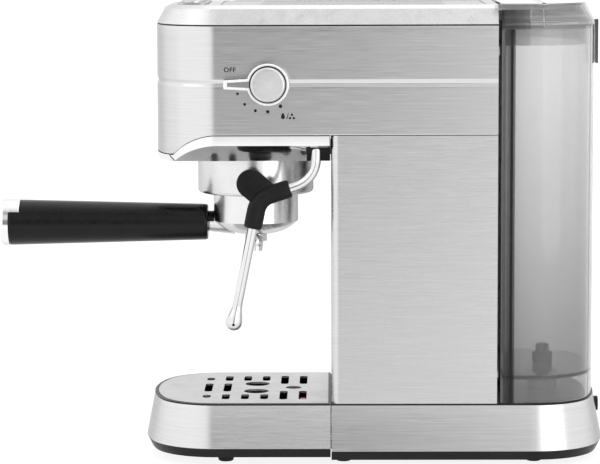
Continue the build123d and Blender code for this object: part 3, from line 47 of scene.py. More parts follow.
def surface(name, points, body, wrap_u=False, wrap_v=False, ends=False, sharp=35.0):
    """Skin over a grid of points in millimetres: every cell is a quad, a wrapped direction joins up with
    itself, and ends are shut with flat caps. The UV map holds the lengths run along both directions."""
    points = np.asarray(points, float) * MM
    nu, nv = points.shape[:2]
    i, j = np.meshgrid(np.arange(nu - 1 + wrap_u), np.arange(nv - 1 + wrap_v), indexing="ij")
    i, j = i.ravel(), j.ravel()
    i1, j1 = (i + 1) % nu, (j + 1) % nv
    quads = np.stack([i * nv + j, i1 * nv + j, i1 * nv + j1, i * nv + j1], 1)
    faces = quads.tolist()
    if ends:
        faces += [np.arange(nv)[::-1].tolist(), (np.arange(nv) + (nu - 1) * nv).tolist()]
    mesh = bpy.data.meshes.new(name)
    mesh.from_pydata(points.reshape(-1, 3), [], faces)
    step_u = np.linalg.norm(np.roll(points, -1, 0) - points, axis=2).mean(1)
    step_v = np.linalg.norm(np.roll(points, -1, 1) - points, axis=2).mean(0)
    run_u = np.concatenate([[0], np.cumsum(step_u)])
    run_v = np.concatenate([[0], np.cumsum(step_v)])
    runs = np.zeros((len(mesh.loops), 2))
    runs[:4 * len(quads), 0] = run_u[np.stack([i, i + 1, i + 1, i], 1)].ravel()
    runs[:4 * len(quads), 1] = run_v[np.stack([j, j, j + 1, j + 1], 1)].ravel()
    mesh.uv_layers.new(name="run").data.foreach_set("uv", runs.ravel())
    work = bmesh.new()
    work.from_mesh(mesh)
    bmesh.ops.remove_doubles(work, verts=work.verts, dist=1e-6)
    bmesh.ops.dissolve_degenerate(work, dist=1e-7, edges=work.edges)
    bmesh.ops.recalc_face_normals(work, faces=work.faces)
    work.to_mesh(mesh)
    work.free()
    mesh.shade_smooth()
    mesh.set_sharp_from_angle(angle=radians(sharp))
    piece = bpy.data.objects.new(name, mesh)
    bpy.context.scene.collection.objects.link(piece)
    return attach(piece, body)


def softened(corners, cut, steps=6, closed=False):
    """Line whose corners are eased: from A, a cut before the corner C, to B, a cut after it, along
    (1-t)^2 A + 2t(1-t) C + t^2 B. An open line keeps its two ends."""
    c = np.asarray(corners, float)
    cut = np.broadcast_to(np.asarray(cut, float), len(c))[:, None]
    back, on = np.roll(c, 1, 0) - c, np.roll(c, -1, 0) - c
    a = c + back / np.maximum(np.linalg.norm(back, axis=1, keepdims=True), 1e-9) * cut
    b = c + on / np.maximum(np.linalg.norm(on, axis=1, keepdims=True), 1e-9) * cut
    t = np.linspace(0, 1, steps)[None, :, None]
    line = (1 - t) ** 2 * a[:, None] + 2 * t * (1 - t) * c[:, None] + t ** 2 * b[:, None]
    if not closed:
        line[0], line[-1] = c[0], c[-1]
    return line.reshape(-1, c.shape[1])


def turned(name, profile, body, centre, along=(0, 0, 1), steps=96, loop=False, sharp=35.0):
    """Turned piece: a profile of radius r and height h carried round an axis,
    centre + r cos(a) e1 + r sin(a) e2 + h along, with e1 and e2 square to the axis."""
    along = np.asarray(along, float) / np.linalg.norm(along)
    e1 = np.cross((0, 1, 0) if abs(along[1]) < 0.9 else (0, 0, 1), along)
    e1 /= np.linalg.norm(e1)
    e2 = np.cross(along, e1)
    r, h = np.asarray(profile, float).T[:, None, :, None]
    a = np.linspace(0, 2 * pi, steps, endpoint=False)[:, None, None]
    points = np.asarray(centre, float) + r * (np.cos(a) * e1 + np.sin(a) * e2) + h * along
    return surface(name, points, body, wrap_u=True, wrap_v=loop, sharp=sharp)


def new_finish(name, **plain):
    """Material with one principled shader. The keywords set its plain sockets."""
    material = bpy.data.materials.new(name)
    material.use_nodes = True
    shader = material.node_tree.nodes["Principled BSDF"]
    for key, value in plain.items():
        shader.inputs[key.replace("_", " ")].default_value = value
    return material, material.node_tree, shader


def grain(tree, scale, detail=3.0):
    """Cloudy pattern at the piece's own coordinates, with so many repeats a metre along each axis."""
    place = tree.nodes.new("ShaderNodeTexCoord")
    stretch = tree.nodes.new("ShaderNodeMapping")
    stretch.inputs["Scale"].default_value = scale
    cloud = tree.nodes.new("ShaderNodeTexNoise")
    cloud.inputs["Scale"].default_value = 1.0
    cloud.inputs["Detail"].default_value = detail
    tree.links.new(place.outputs["Object"], stretch.inputs["Vector"])
    tree.links.new(stretch.outputs["Vector"], cloud.inputs["Vector"])
    return cloud.outputs["Fac"]


def shade(tree, source, socket, low, high, start=0.3, end=0.7):
    """Sends a pattern to a socket, from low where it is at start to high where it is at end."""
    if isinstance(low, tuple):
        ramp = tree.nodes.new("ShaderNodeValToRGB")
        for stop, place, colour in zip(ramp.color_ramp.elements, (start, end), (low, high)):
            stop.position, stop.color = place, (*colour, 1)
        tree.links.new(source, ramp.inputs["Fac"])
        tree.links.new(ramp.outputs["Color"], socket)
    else:
        span = tree.nodes.new("ShaderNodeMapRange")
        for key, value in zip(("From Min", "From Max", "To Min", "To Max"), (start, end, low, high)):
            span.inputs[key].default_value = value
        tree.links.new(source, span.inputs["Value"])
        tree.links.new(span.outputs["Result"], socket)


def relief(tree, source, shader, strength, depth):
    """Lets a pattern raise and lower the surface by a depth in metres."""
    bump = tree.nodes.new("ShaderNodeBump")
    bump.inputs["Strength"].default_value = strength
    bump.inputs["Distance"].default_value = depth
    tree.links.new(source, bump.inputs["Height"])
    tree.links.new(bump.outputs["Normal"], shader.inputs["Normal"])


def soft_rubber(name, dark, light, rough=0.62):
    """Matt rubber: dusty mottling and a fine moulded skin."""
    material, tree, shader = new_finish(name, Specular_IOR_Level=0.18)
    shade(tree, grain(tree, (160, 160, 160)), shader.inputs["Base Color"], dark, light)
    shade(tree, grain(tree, (420, 420, 420)), shader.inputs["Roughness"], rough - 0.08, rough + 0.12)
    relief(tree, grain(tree, (2600, 2600, 2600)), shader, 0.25, 0.0001)
    return material


def dress(piece, material):
    """Gives a new piece or a CAD node its finish."""
    piece.data.materials.clear()
    piece.data.materials.append(material)
    return piece


FOOT_R, FOOT_TAPER = 6.5, 1.6
FOOT_X, BASE_FEET_Y, TRAY_FEET_Y = 46, (-21, 108), (-101,)
PAN_CLEAR, TRAY_CLEAR = 4.3, 6.1
foot_rubber = soft_rubber("foot_rubber", (0.006,) * 3, (0.014,) * 3)


def feet(name, body, rows, height, node):
    """One tapered foot of a height at both ends of each row."""
    line = softened([(0, 0), (FOOT_R - FOOT_TAPER, 0), (FOOT_R, height), (0, height)], (0, 1.0, 0.2, 0))
    for index, (x, y) in enumerate((x, y) for x in (-FOOT_X, FOOT_X) for y in rows):
        foot = turned(f"{name}_{index}", line, body, (x, y, 0), steps=40)
        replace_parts(dress(foot, foot_rubber), node)


feet("base_foot", "machine", BASE_FEET_Y, PAN_CLEAR, "base_feet")
feet("tray_foot", "drip_tray", TRAY_FEET_Y, TRAY_CLEAR, "tray_feet")


# Base pan and deck. Black moulded plastic: the pan closes the base from below, the deck from above.
# The deck's edge shows as a thin dark line between the steel wall and the column.
def moulded_black(name, dark=(0.004,) * 3, light=(0.008,) * 3, rough=0.38, gloss=0.22, skin=0.06):
    """Black moulded plastic: faint flow marks and a spark-eroded skin."""
    material, tree, shader = new_finish(name, Specular_IOR_Level=gloss)
    shade(tree, grain(tree, (60, 60, 60)), shader.inputs["Base Color"], dark, light)
    shade(tree, grain(tree, (300, 300, 300)), shader.inputs["Roughness"], rough - 0.04, rough + 0.06)
    relief(tree, grain(tree, (3200, 3200, 3200)), shader, skin, 0.00003)
    return material


pan_black = moulded_black("pan_black")
for node in ("base_pan", "base_deck"):
    dress(nodes[node], pan_black)

# Base wall. Stainless sheet bent round the rear end and drawn in towards the top, hooked over the pan.
# It is brushed along its length, and its upper edge is turned in.
END_BOW_R, END_CORNER_R = 120.0, 40.0
SHEET = 1.2


def wrap_path(half, tip, start, straight=30, corner=28, bow=40):
    """Plan line that starts on the right side at y = start, runs to a rounded end with its tip at y = tip,
    and comes back on the left. Each end is two corner arcs and a shallow bow that meet without a kink:
    corner (half - r + r cos a, yc + s r sin a), bow (R sin b, yb + s R cos b). Also gives the normals."""
    side = 1.0 if tip > start else -1.0
    lean = asin((half - END_CORNER_R) / (END_BOW_R - END_CORNER_R))
    bow_y = tip - side * END_BOW_R
    corner_y = bow_y + side * (END_BOW_R - END_CORNER_R) * cos(lean)
    a = np.linspace(0, pi / 2 - lean, corner)
    b = np.linspace(lean, 0, bow // 2)[1:]
    run = np.linspace(start, corner_y, straight, endpoint=False)
    x = np.concatenate([
        np.full(straight, half), half - END_CORNER_R + END_CORNER_R * np.cos(a), END_BOW_R * np.sin(b),
    ])
    y = np.concatenate([
        run, corner_y + side * END_CORNER_R * np.sin(a), bow_y + side * END_BOW_R * np.cos(b),
    ])
    nx = np.concatenate([np.ones(straight), np.cos(a), np.sin(b)])
    ny = np.concatenate([np.zeros(straight), side * np.sin(a), side * np.cos(b)])
    path = np.stack([np.concatenate([x, -x[-2::-1]]), np.concatenate([y, y[-2::-1]])], 1)
    out = np.stack([np.concatenate([nx, -nx[-2::-1]]), np.concatenate([ny, ny[-2::-1]])], 1)
    return path, out


def swept(path, out, profile):
    """Grid of a profile carried along a plan line: path + offset normal, at the profile's heights."""
    offset, z = np.asarray(profile, float).T
    plan = path[:, None, :] + out[:, None, :] * offset[None, :, None]
    return np.concatenate([plan, np.broadcast_to(z[None, :, None], (*plan.shape[:2], 1))], 2)


def brushed_steel(name, lines, dark=0.58, light=0.64, rough=0.22):
    """Brushed stainless steel: streaks run along the axis with the fewest repeats in lines."""
    material, tree, shader = new_finish(name, Metallic=1.0, Specular_Tint=(0.62, 0.62, 0.62, 1))
    streaks = grain(tree, lines, 5.0)
    shade(tree, streaks, shader.inputs["Base Color"], (dark,) * 3, (light,) * 3)
    finer = grain(tree, tuple(3 * n for n in lines), 2.0)
    shade(tree, finer, shader.inputs["Roughness"], rough - 0.03, rough + 0.05)
    relief(tree, streaks, shader, 0.05, 0.00002)
    return material


WALL_HALF, WALL_TIP, WALL_TOP, WALL_SLOPE = 63.5, 151.5, 41.0, 6 / 30.5
WALL_FOOT, PARTING, PARTING_HALF = 10.5, -29.5, 0.3
CROSS_BRUSHED = (18, 18, 1500)
wall_steel = brushed_steel("wall_steel", CROSS_BRUSHED)


def wall_line(foot):
    """Section of the wall from its foot to its rounded upper edge and back down inside."""
    toe = (WALL_TOP - foot) * WALL_SLOPE
    corners = [(toe, foot), (0, WALL_TOP), (-SHEET, WALL_TOP), (toe - SHEET, foot)]
    return softened(corners, (0.3, 0.5, 0.3, 0.3), closed=True)


base_plan = wrap_path(WALL_HALF, WALL_TIP, PARTING + PARTING_HALF)
base_wall = surface("base_wall", swept(*base_plan, wall_line(WALL_FOOT)), "machine", wrap_v=True, ends=True)
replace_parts(dress(base_wall, wall_steel), "base_shell")

# Seam strip. A thin black lip on the front edge of the pan that the tray's rear edge closes against.
# It is moulded with the pan and fills the parting line.
TRAY_FOOT, LIP_INSET, LIP_HALF = 12.3, 0.4, 0.25


def straight_bar(name, outline, axis, start, end, body):
    """Bar of one section: a closed outline, square to an axis, carried along it from start to end."""
    axis = "XYZ".index(axis)
    ring = np.insert(np.asarray(outline, float), axis, 0.0, axis=1)
    points = np.stack([ring, ring])
    points[0, :, axis], points[1, :, axis] = start, end
    return surface(name, points, body, wrap_v=True, ends=True)


for side in (-1, 1):
    lip_line = (wall_line(TRAY_FOOT) + (WALL_HALF - LIP_INSET, 0)) * (side, 1)
    lip = straight_bar(f"seam_lip_{side}", lip_line, "Y", PARTING - LIP_HALF, PARTING + LIP_HALF, "machine")
    dress(lip, pan_black)

# Cord gland. A rubber bush pressed into a hole in the rear wall, where the mains lead comes in.
# A thin rubber web closes its bore as long as no lead is fitted.
GLAND_Z, WEB_R, WEB_FRONT, WEB_BACK, WEB_ROOT = 31, 3.68, 153.4, 154.6, 154.9
gland_rubber = soft_rubber("gland_rubber", (0.012,) * 3, (0.03,) * 3)
dress(nodes["cord_gland"], gland_rubber)
web_line = softened(
    [(0, WEB_FRONT), (WEB_R, WEB_FRONT), (WEB_R, WEB_ROOT), (2.6, WEB_BACK), (0, WEB_BACK)],
    (0, 0.1, 0.1, 0.3, 0),
)
gland_web = turned("gland_web", web_line, "machine", (0, 0, GLAND_Z), (0, 1, 0), steps=48)
dress(gland_web, gland_rubber)

# Drip tray. A black basin inside a steel wall that carries on the line of the base.
# It slides out forwards on two rails of the base pan.
dress(nodes["tray_basin"], pan_black)
tray_plan = wrap_path(WALL_HALF, -WALL_TIP, PARTING - PARTING_HALF)
tray_wall = surface("tray_wall", swept(*tray_plan, wall_line(TRAY_FOOT)), "drip_tray", wrap_v=True, ends=True)
tray_steel = brushed_steel("tray_steel", CROSS_BRUSHED, 0.63, 0.68, 0.255)
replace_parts(dress(tray_wall, tray_steel), "tray_shell")


# Drip plate. Polished sheet pressed flat, with round-ended slots and drain holes punched through it.
# It lies loose in the rim of the basin and lifts off.
def polished_steel(name, tone, rough, edge=0.7):
    """Polished or chromed metal: faint cloudiness, wiping marks in the gloss, and a dimmer grazing edge."""
    material, tree, shader = new_finish(name, Metallic=1.0, Specular_Tint=(edge, edge, edge, 1))
    cloud = grain(tree, (40, 40, 40))
    shade(tree, cloud, shader.inputs["Base Color"], (tone - 0.03,) * 3, (tone + 0.03,) * 3)
    shade(tree, grain(tree, (90, 90, 260), 4.0), shader.inputs["Roughness"], rough - 0.02, rough + 0.05)
    return material


plate_steel = polished_steel("plate_steel", 0.5, 0.35, 0.92)
dress(nodes["drip_plate"], plate_steel)

# Level float. A block of red plastic with an upright fin, bored to slide on a post of the basin.
# Rising water lifts it until the fin shows through a slot of the plate.
float_red, tree, shader = new_finish("float_red", Specular_IOR_Level=0.5)
shade(tree, grain(tree, (200, 200, 200)), shader.inputs["Base Color"], (0.42, 0.012, 0.01), (0.6, 0.03, 0.02))
shade(tree, grain(tree, (500, 500, 500)), shader.inputs["Roughness"], 0.3, 0.45)
dress(nodes["tray_float"], float_red)

# Column. One steel sheet folded round the front corners, notched where it goes up behind the head's floor.
# It is brushed crosswise, and a black moulded panel closes it at the back with plated screws.
column_steel = brushed_steel("column_steel", CROSS_BRUSHED, 0.60, 0.65, 0.24)
dress(nodes["column_skin"], column_steel)
back_black = moulded_black("back_black")
dress(nodes["back_panel"], back_black)
plated = brushed_steel("plated", (300, 300, 300), 0.42, 0.56, 0.3)
for node in ("case_screws", "chassis", "pump_bracket", "thermoblock_bolts", "handle_stud", "basket_spring",
             "screen_screw", "lid_pins"):
    dress(nodes[node], plated)

# Head. A steel sheet rolled round the front with one groove pressed along it, brushed lengthwise.
# Its lower edge rises in an S from the chin to the sides, over the polished underside.
HEAD_HALF, HEAD_TIP, HEAD_BACK, HEAD_TOP = 63.0, -148.0, 82.0, 295.5
SEAM, CHIN, GROOVE, GROOVE_HEIGHT, GROOVE_DEPTH = 223.0, 209.3, 257.5, 5.4, 0.8
head_steel = brushed_steel("head_steel", (16, 16, 1300), 0.63, 0.69, 0.2)


def head_sheet():
    """Grid of the sheet: every plan point carries one section, z = w low + c at an offset o from the plan.
    The lower edge is low = chin + s log(1 + exp((seam - half + |x| - chin) / s)), so the S has no corner,
    and the groove goes in by o = -depth (1 + cos(pi u)) / 2 with u = 2 (z - groove) / height."""
    path, out = wrap_path(HEAD_HALF, HEAD_TIP, HEAD_BACK, straight=40, corner=60, bow=60)
    ease, hem = 0.9, np.array([-0.45, -0.12, 0])
    low = CHIN + ease * np.log1p(np.exp((SEAM - HEAD_HALF + np.abs(path[:, 0]) - CHIN) / ease))
    f = np.linspace(0.02, 1, 16)
    below = GROOVE - GROOVE_HEIGHT / 2
    u = np.linspace(-1, 1, 25)[1:]
    pressed = GROOVE + u * GROOVE_HEIGHT / 2
    dip = -GROOVE_DEPTH * (1 + np.cos(pi * u)) / 2
    above = np.linspace(below + GROOVE_HEIGHT + 1, HEAD_TOP - 0.5, 10)
    none, inside = np.zeros_like, f[::-5]
    w = np.concatenate([[1, 1, 1], 1 - f, none(pressed), none(above), [0, 0, 0], 1 - inside, [1]])
    c = np.concatenate([
        [0, 0.12, 0.45], f * below, pressed, above,
        [HEAD_TOP - 0.12, HEAD_TOP, HEAD_TOP], inside * below, [0],
    ])
    o = np.concatenate([hem, none(f), dip, none(above), hem[1::-1], np.full(2 + len(inside), -SHEET)])
    z = w[None] * low[:, None] + c[None]
    return np.concatenate([path[:, None] + out[:, None] * o[None, :, None], z[:, :, None]], 2)


head_sheet_piece = surface("head_sheet", head_sheet(), "machine", wrap_v=True, ends=True)
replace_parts(dress(head_sheet_piece, head_steel), "head_skin")
head_chrome = polished_steel("head_chrome", 0.88, 0.06)
dress(nodes["head_bottom"], head_chrome)
BAND_START, BAND_SIDE, BAND_CHIN = -30.2, 7.0, 4.3


def side_band():
    """Grid of the polished band under the sheet: it follows the S of the sheet's edge from the parting line
    at the column round the chin. A rounded section of points (t, o) is carried along the plan line,
    p + o n and z = top - t (top - bottom), and leans in below."""
    path, out = wrap_path(HEAD_HALF, HEAD_TIP, BAND_START, corner=60, bow=60)
    drop = HEAD_HALF - np.abs(path[:, 0])
    top = np.maximum(SEAM - 0.5 - drop, CHIN - 0.4)[:, None]
    bottom = np.maximum(SEAM - BAND_SIDE - 0.86 * drop, CHIN - BAND_CHIN)[:, None]
    section = [(0, -0.4), (0, 0.5), (1, 0.05), (1, -0.4)]
    t, o = softened(section, (0.02, 0.04, 0.04, 0.02), closed=True).T[:, None]
    z = top - t * (top - bottom)
    return np.concatenate([path[:, None] + out[:, None] * o[..., None], z[:, :, None]], 2)


band_steel = polished_steel("band_steel", 0.83, 0.12, 0.9)
edge_band = surface("edge_band", side_band(), "machine", wrap_v=True, ends=True)
dress(edge_band, band_steel)
SLIT_INNER, SLIT_OUTER, SLIT_TOP, SLIT_FALL, SLIT_HALF = 46.3, 50.3, 208.7, 3.4, 0.45


def slit_line():
    """Grid of the dark parting line in the band beside the chin: a narrow ribbon along the plan line,
    p + (o + 0.5 - 0.45 t) n and z = top - fall t, that runs from the band's upper edge to its lower one."""
    path, out = wrap_path(HEAD_HALF, HEAD_TIP, BAND_START, corner=400)
    near = (path[:, 0] > SLIT_INNER) & (path[:, 0] < SLIT_OUTER)
    path, out = path[near], out[near]
    t = np.linspace(1, 0, len(path))[:, None]
    o, h = np.array([(0.1, 1), (0.1, -1), (-0.4, -1), (-0.4, 1)]).T[:, None]
    z = SLIT_TOP - SLIT_FALL * t + SLIT_HALF * h
    return np.concatenate([path[:, None] + out[:, None] * (o + 0.5 - 0.45 * t)[..., None], z[..., None]], 2)


socket_black = moulded_black("socket_black")
for side in (-1, 1):
    slit = surface(f"chin_slit_{side}", slit_line() * (side, 1, 1), "machine", wrap_v=True, ends=True)
    dress(slit, socket_black)
dress(nodes["wand_socket"], socket_black)
seal_rubber = soft_rubber("seal_rubber", (0.01,) * 3, (0.025,) * 3)
for node in ("top_gasket", "group_gasket", "port_seal", "pump_pads"):
    dress(nodes[node], seal_rubber)


# Top cap. A moulded cover with sloped sides and a fine silver finish, clipped over the head's upper edge.
# A slotted warming plate for cups lies in its recess.
def silver_skin(name, tone):
    """Silver finish on plastic: fine metal flakes under a satin coat."""
    material, tree, shader = new_finish(name, Metallic=0.85, Specular_Tint=(0.6, 0.6, 0.6, 1))
    flakes = grain(tree, (900, 900, 900))
    shade(tree, flakes, shader.inputs["Base Color"], (tone - 0.05,) * 3, (tone + 0.05,) * 3)
    shade(tree, grain(tree, (150, 150, 150)), shader.inputs["Roughness"], 0.26, 0.36)
    relief(tree, grain(tree, (5000, 5000, 5000)), shader, 0.04, 0.00002)
    return material


cap_silver = silver_skin("cap_silver", 0.72)
dress(nodes["top_cap"], cap_silver)
cup_steel = brushed_steel("cup_steel", (1200, 25, 1200))
dress(nodes["cup_plate"], cup_steel)

# Control panel. A satin silver strip let into the cap, with three round press buttons in its holes.
# They press on the switches of a green circuit board that hangs on posts under the cap.
panel_silver = silver_skin("panel_silver", 0.5)
dress(nodes["control_panel"], panel_silver)
button_silver = silver_skin("button_silver", 0.66)
for node in ("button_single", "button_double", "button_steam"):
    dress(nodes[node], button_silver)
board_green, tree, shader = new_finish("board_green", Specular_IOR_Level=0.5)
shade(tree, grain(tree, (700, 700, 700)), shader.inputs["Base Color"], (0.01, 0.07, 0.03), (0.03, 0.16, 0.07))
shade(tree, grain(tree, (300, 300, 300)), shader.inputs["Roughness"], 0.35, 0.5)
dress(nodes["circuit_board"], board_green)

# Brew group. A cast bell that the portafilter locks into hangs from the thermoblock under the chassis.
# The chromed ring round it is a spun sheet with a rounded lower edge, held up against the head's floor.
BREW = (0, -81, 0)
RING_R, RING_WALL, RING_LOW, RING_TOP = 39.75, 3.5, 179.4, 204.8
ring_chrome = polished_steel("ring_chrome", 0.69, 0.2)
ring_line = softened(
    [(RING_R, RING_TOP), (RING_R, RING_LOW), (RING_R - RING_WALL, RING_LOW), (RING_R - RING_WALL, RING_TOP)],
    (0.2, 2.6, 0.7, 0.2), closed=True,
)
group_ring = turned("group_ring_chromed", ring_line, "machine", BREW, steps=160, loop=True)
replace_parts(dress(group_ring, ring_chrome), "group_ring")
cast_metal, tree, shader = new_finish("cast_metal", Metallic=1.0)
casting = grain(tree, (120, 120, 120), 5.0)
shade(tree, casting, shader.inputs["Base Color"], (0.42, 0.42, 0.43), (0.62, 0.62, 0.63))
shade(tree, grain(tree, (400, 400, 400)), shader.inputs["Roughness"], 0.4, 0.6)
relief(tree, grain(tree, (1500, 1500, 1500)), shader, 0.3, 0.0002)
for node in ("group_head", "thermoblock"):
    dress(nodes[node], cast_metal)
screen_steel = brushed_steel("screen_steel", (600, 600, 600))
dress(nodes["shower_screen"], screen_steel)

# Portafilter. A chromed brass cup with two lugs, a pressed filter basket held by a wire spring, and a double
# spout. A black moulded handle is screwed on to its neck, and a chromed cap with a tongue closes its end.
cup_chrome = polished_steel("cup_chrome", 0.72, 0.17)
dress(nodes["portafilter_cup"], cup_chrome)
dress(nodes["filter_basket"], screen_steel)
dress(nodes["spout"], cup_chrome)
HANDLE_Z, HANDLE_FRONT, HANDLE_BACK = 158.3, -114.15, -251.05
HANDLE_NECK_R, HANDLE_END_R, TONGUE = 12.4, 15.75, 7.6
handle_black = moulded_black("handle_black", (0.002,) * 3, (0.004,) * 3, 0.26, 0.24, 0.01)
handle_length = HANDLE_FRONT - HANDLE_BACK
handle_line = softened(
    [(0, 0), (HANDLE_NECK_R - 0.8, 0), (HANDLE_NECK_R, 0.9), (HANDLE_END_R, handle_length - 0.8),
     (HANDLE_END_R - 0.55, handle_length), (0, handle_length)],
    (0, 0.8, 1.2, 0.8, 0.4, 0),
)
grip_bar = turned(
    "handle_bar", handle_line, "portafilter", (0, HANDLE_FRONT, HANDLE_Z), (0, -1, 0), steps=128, sharp=50,
)
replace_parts(dress(grip_bar, handle_black), "handle")
dress(nodes["handle_cap"], head_chrome)


def cap_tongue():
    """Tongue of the cap, let into the top of the handle: (r sin a, y, z0 + r cos a) across the top,
    with r just proud of the handle's taper r0 + k (y0 - y), from the handle's end to the tongue's tip."""
    a = np.radians(np.linspace(-58, 58, 48))[:, None]
    tip = HANDLE_BACK + TONGUE
    section = [(-1.2, HANDLE_BACK), (0.12, HANDLE_BACK), (0.12, tip), (-1.2, tip)]
    lift, y = softened(section, (0.1, 0.1, 0.5, 0.1), closed=True).T[:, None]
    r = HANDLE_NECK_R + (HANDLE_END_R - HANDLE_NECK_R) * (HANDLE_FRONT - y) / handle_length + lift
    return np.stack([r * np.sin(a), y + 0 * a, HANDLE_Z + r * np.cos(a)], 2)


tongue = surface("cap_tongue", cap_tongue(), "portafilter", wrap_v=True, ends=True)
dress(tongue, head_chrome)


def collar_saddle():
    """Half sleeve over the neck: (r cos a, y, z0 + r sin a) across the top, from an inner to an outer r."""
    a = np.radians(np.linspace(8, 172, 40))[:, None]
    inner, outer, reach = 6.7, 7.6, 4.4
    r, y = softened([(inner, reach), (outer, reach), (outer, 0), (inner, 0)], 0.3, closed=True).T[:, None]
    return np.stack([r * np.cos(a), HANDLE_FRONT + y + 0 * a, HANDLE_Z + r * np.sin(a)], 2)


neck_saddle = surface("neck_saddle", collar_saddle(), "portafilter", wrap_v=True, ends=True)
dress(neck_saddle, handle_black)

# Steam knob. A moulded keyhole plate with a chromed rim, its pointer to the front, on the brass valve's stem.
# A satin turned disc is pressed into its middle.
KNOB_Y, KNOB_Z, KNOB_R = -70.7, 257.5, 14.0
POINTER_REACH, POINTER_TIP, POINTER_ROOT = 29.5, 3.0, 3.9
knob_chrome = polished_steel("knob_chrome", 0.74, 0.1)


def keyhole(inset):
    """Outline of the knob about its axis, along Y and Z, drawn in by an inset: a round of radius R - d,
    with a pointer that tapers to the front and runs into the round with eased corners."""
    r, tip, root_half = KNOB_R - inset, POINTER_TIP - inset, POINTER_ROOT - inset
    root = asin(root_half / r)
    a = np.linspace(-pi + root, pi - root, 120)
    ring = r * np.stack([np.cos(a), np.sin(a)], 1)
    reach, last = inset - POINTER_REACH, len(a) - 1
    corners = np.vstack([ring, [(reach, tip), (reach, -tip)]])
    cuts = np.zeros(len(corners))
    cuts[[0, last]], cuts[last + 1:] = 0.6, 0.45
    line = softened(corners, cuts, 6, closed=True).reshape(len(corners), 6, 2)
    return np.vstack([line[0], line[1:last, 0], line[last], line[last + 1], line[last + 2]])


def knob_grid(profile):
    """Grid of a profile of inset and X carried round the knob's outline."""
    lines = np.stack([keyhole(inset) for inset, x in profile]) + (KNOB_Y, KNOB_Z)
    x = np.array([x for inset, x in profile])[:, None, None]
    return np.concatenate([np.broadcast_to(x, (*lines.shape[:2], 1)), lines], 2)


plate_line = [
    (0.2, 64.9), (0, 65.3), (0, 75.2), (0.2, 75.8), (0.55, 76.1),
    (1.25, 76.1), (1.6, 75.8), (1.8, 75.2), (1.85, 74.4),
]
knob_plate = surface("knob_plate", knob_grid(plate_line), "steam_knob", wrap_v=True, ends=True)
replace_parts(dress(knob_plate, knob_chrome), "knob_body")
# The rim and the pointer's tip are painted near white: a painted highlight of the chromed bead.
knob_rim_painted_highlight, tree, shader = new_finish("knob_rim_painted_highlight", Metallic=0.25)
shade(tree, grain(tree, (300, 300, 300)), shader.inputs["Base Color"], (0.82,) * 3, (0.9,) * 3)
shade(tree, grain(tree, (500, 500, 500)), shader.inputs["Roughness"], 0.2, 0.3)
rim_line = [(0.05, 75.3), (0.2, 75.95), (0.6, 76.3), (1.2, 76.3), (1.6, 75.95), (1.75, 75.3), (0.9, 75.1)]
knob_rim = surface("knob_rim", knob_grid(rim_line), "steam_knob", wrap_u=True, wrap_v=True)
dress(knob_rim, knob_rim_painted_highlight)
tip_line = softened([(-29.2, -2.7), (-26.9, -2.75), (-26.9, 2.75), (-29.2, 2.7)], 0.3, closed=True)
pointer_tip = straight_bar("pointer_tip", tip_line + (KNOB_Y, KNOB_Z), "X", 74.3, 76.25, "steam_knob")
dress(pointer_tip, knob_rim_painted_highlight)
DISC_R, DISC_FACE, GAP_INNER, GAP_OUTER = 11.45, 80.2, 11.5, 12.35
knob_axis = (0, KNOB_Y, KNOB_Z), (1, 0, 0)
# A black ring fills the gap round the disc: painted shade where the gap lies in shadow.
gap_painted_shade = moulded_black("gap_painted_shade")
gap_line = [(GAP_INNER, 74.3), (GAP_OUTER, 74.3), (GAP_OUTER, 74.75), (GAP_INNER, 74.75)]
knob_gap_shade = turned("knob_gap_shade", gap_line, "steam_knob", *knob_axis, steps=120, loop=True)
dress(knob_gap_shade, gap_painted_shade)
disc_satin, tree, shader = new_finish("disc_satin", Metallic=1.0)
place = tree.nodes.new("ShaderNodeTexCoord")
centred = tree.nodes.new("ShaderNodeMapping")
centred.inputs["Location"].default_value = (0, -KNOB_Y * MM, -KNOB_Z * MM)
flat_x = tree.nodes.new("ShaderNodeVectorMath")
flat_x.operation = "MULTIPLY"
flat_x.inputs[1].default_value = (0, 1, 1)
reach = tree.nodes.new("ShaderNodeVectorMath")
reach.operation = "LENGTH"
tree.links.new(place.outputs["Object"], centred.inputs["Vector"])
tree.links.new(centred.outputs["Vector"], flat_x.inputs[0])
tree.links.new(flat_x.outputs["Vector"], reach.inputs[0])
shade(tree, reach.outputs["Value"], shader.inputs["Base Color"], (0.74,) * 3, (0.64,) * 3, 0.0, 0.0105)
shade(tree, grain(tree, (500, 500, 500)), shader.inputs["Roughness"], 0.3, 0.36)
disc_line = softened(
    [(DISC_R, 74.6), (DISC_R, DISC_FACE - 1), (DISC_R - 0.85, DISC_FACE), (0, DISC_FACE - 0.1)],
    (0, 0.4, 0.5, 0),
)
knob_disc = turned("knob_face", disc_line, "steam_knob", *knob_axis, steps=120, sharp=20)
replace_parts(dress(knob_disc, disc_satin), "knob_disc")
brass, tree, shader = new_finish("brass", Metallic=1.0)
shade(tree, grain(tree, (200, 200, 200)), shader.inputs["Base Color"], (0.5, 0.36, 0.14), (0.66, 0.5, 0.24))
shade(tree, grain(tree, (500, 500, 500)), shader.inputs["Roughness"], 0.25, 0.4)
for node in ("valve_stem", "steam_valve", "steam_pipe"):
    dress(nodes[node], brass)

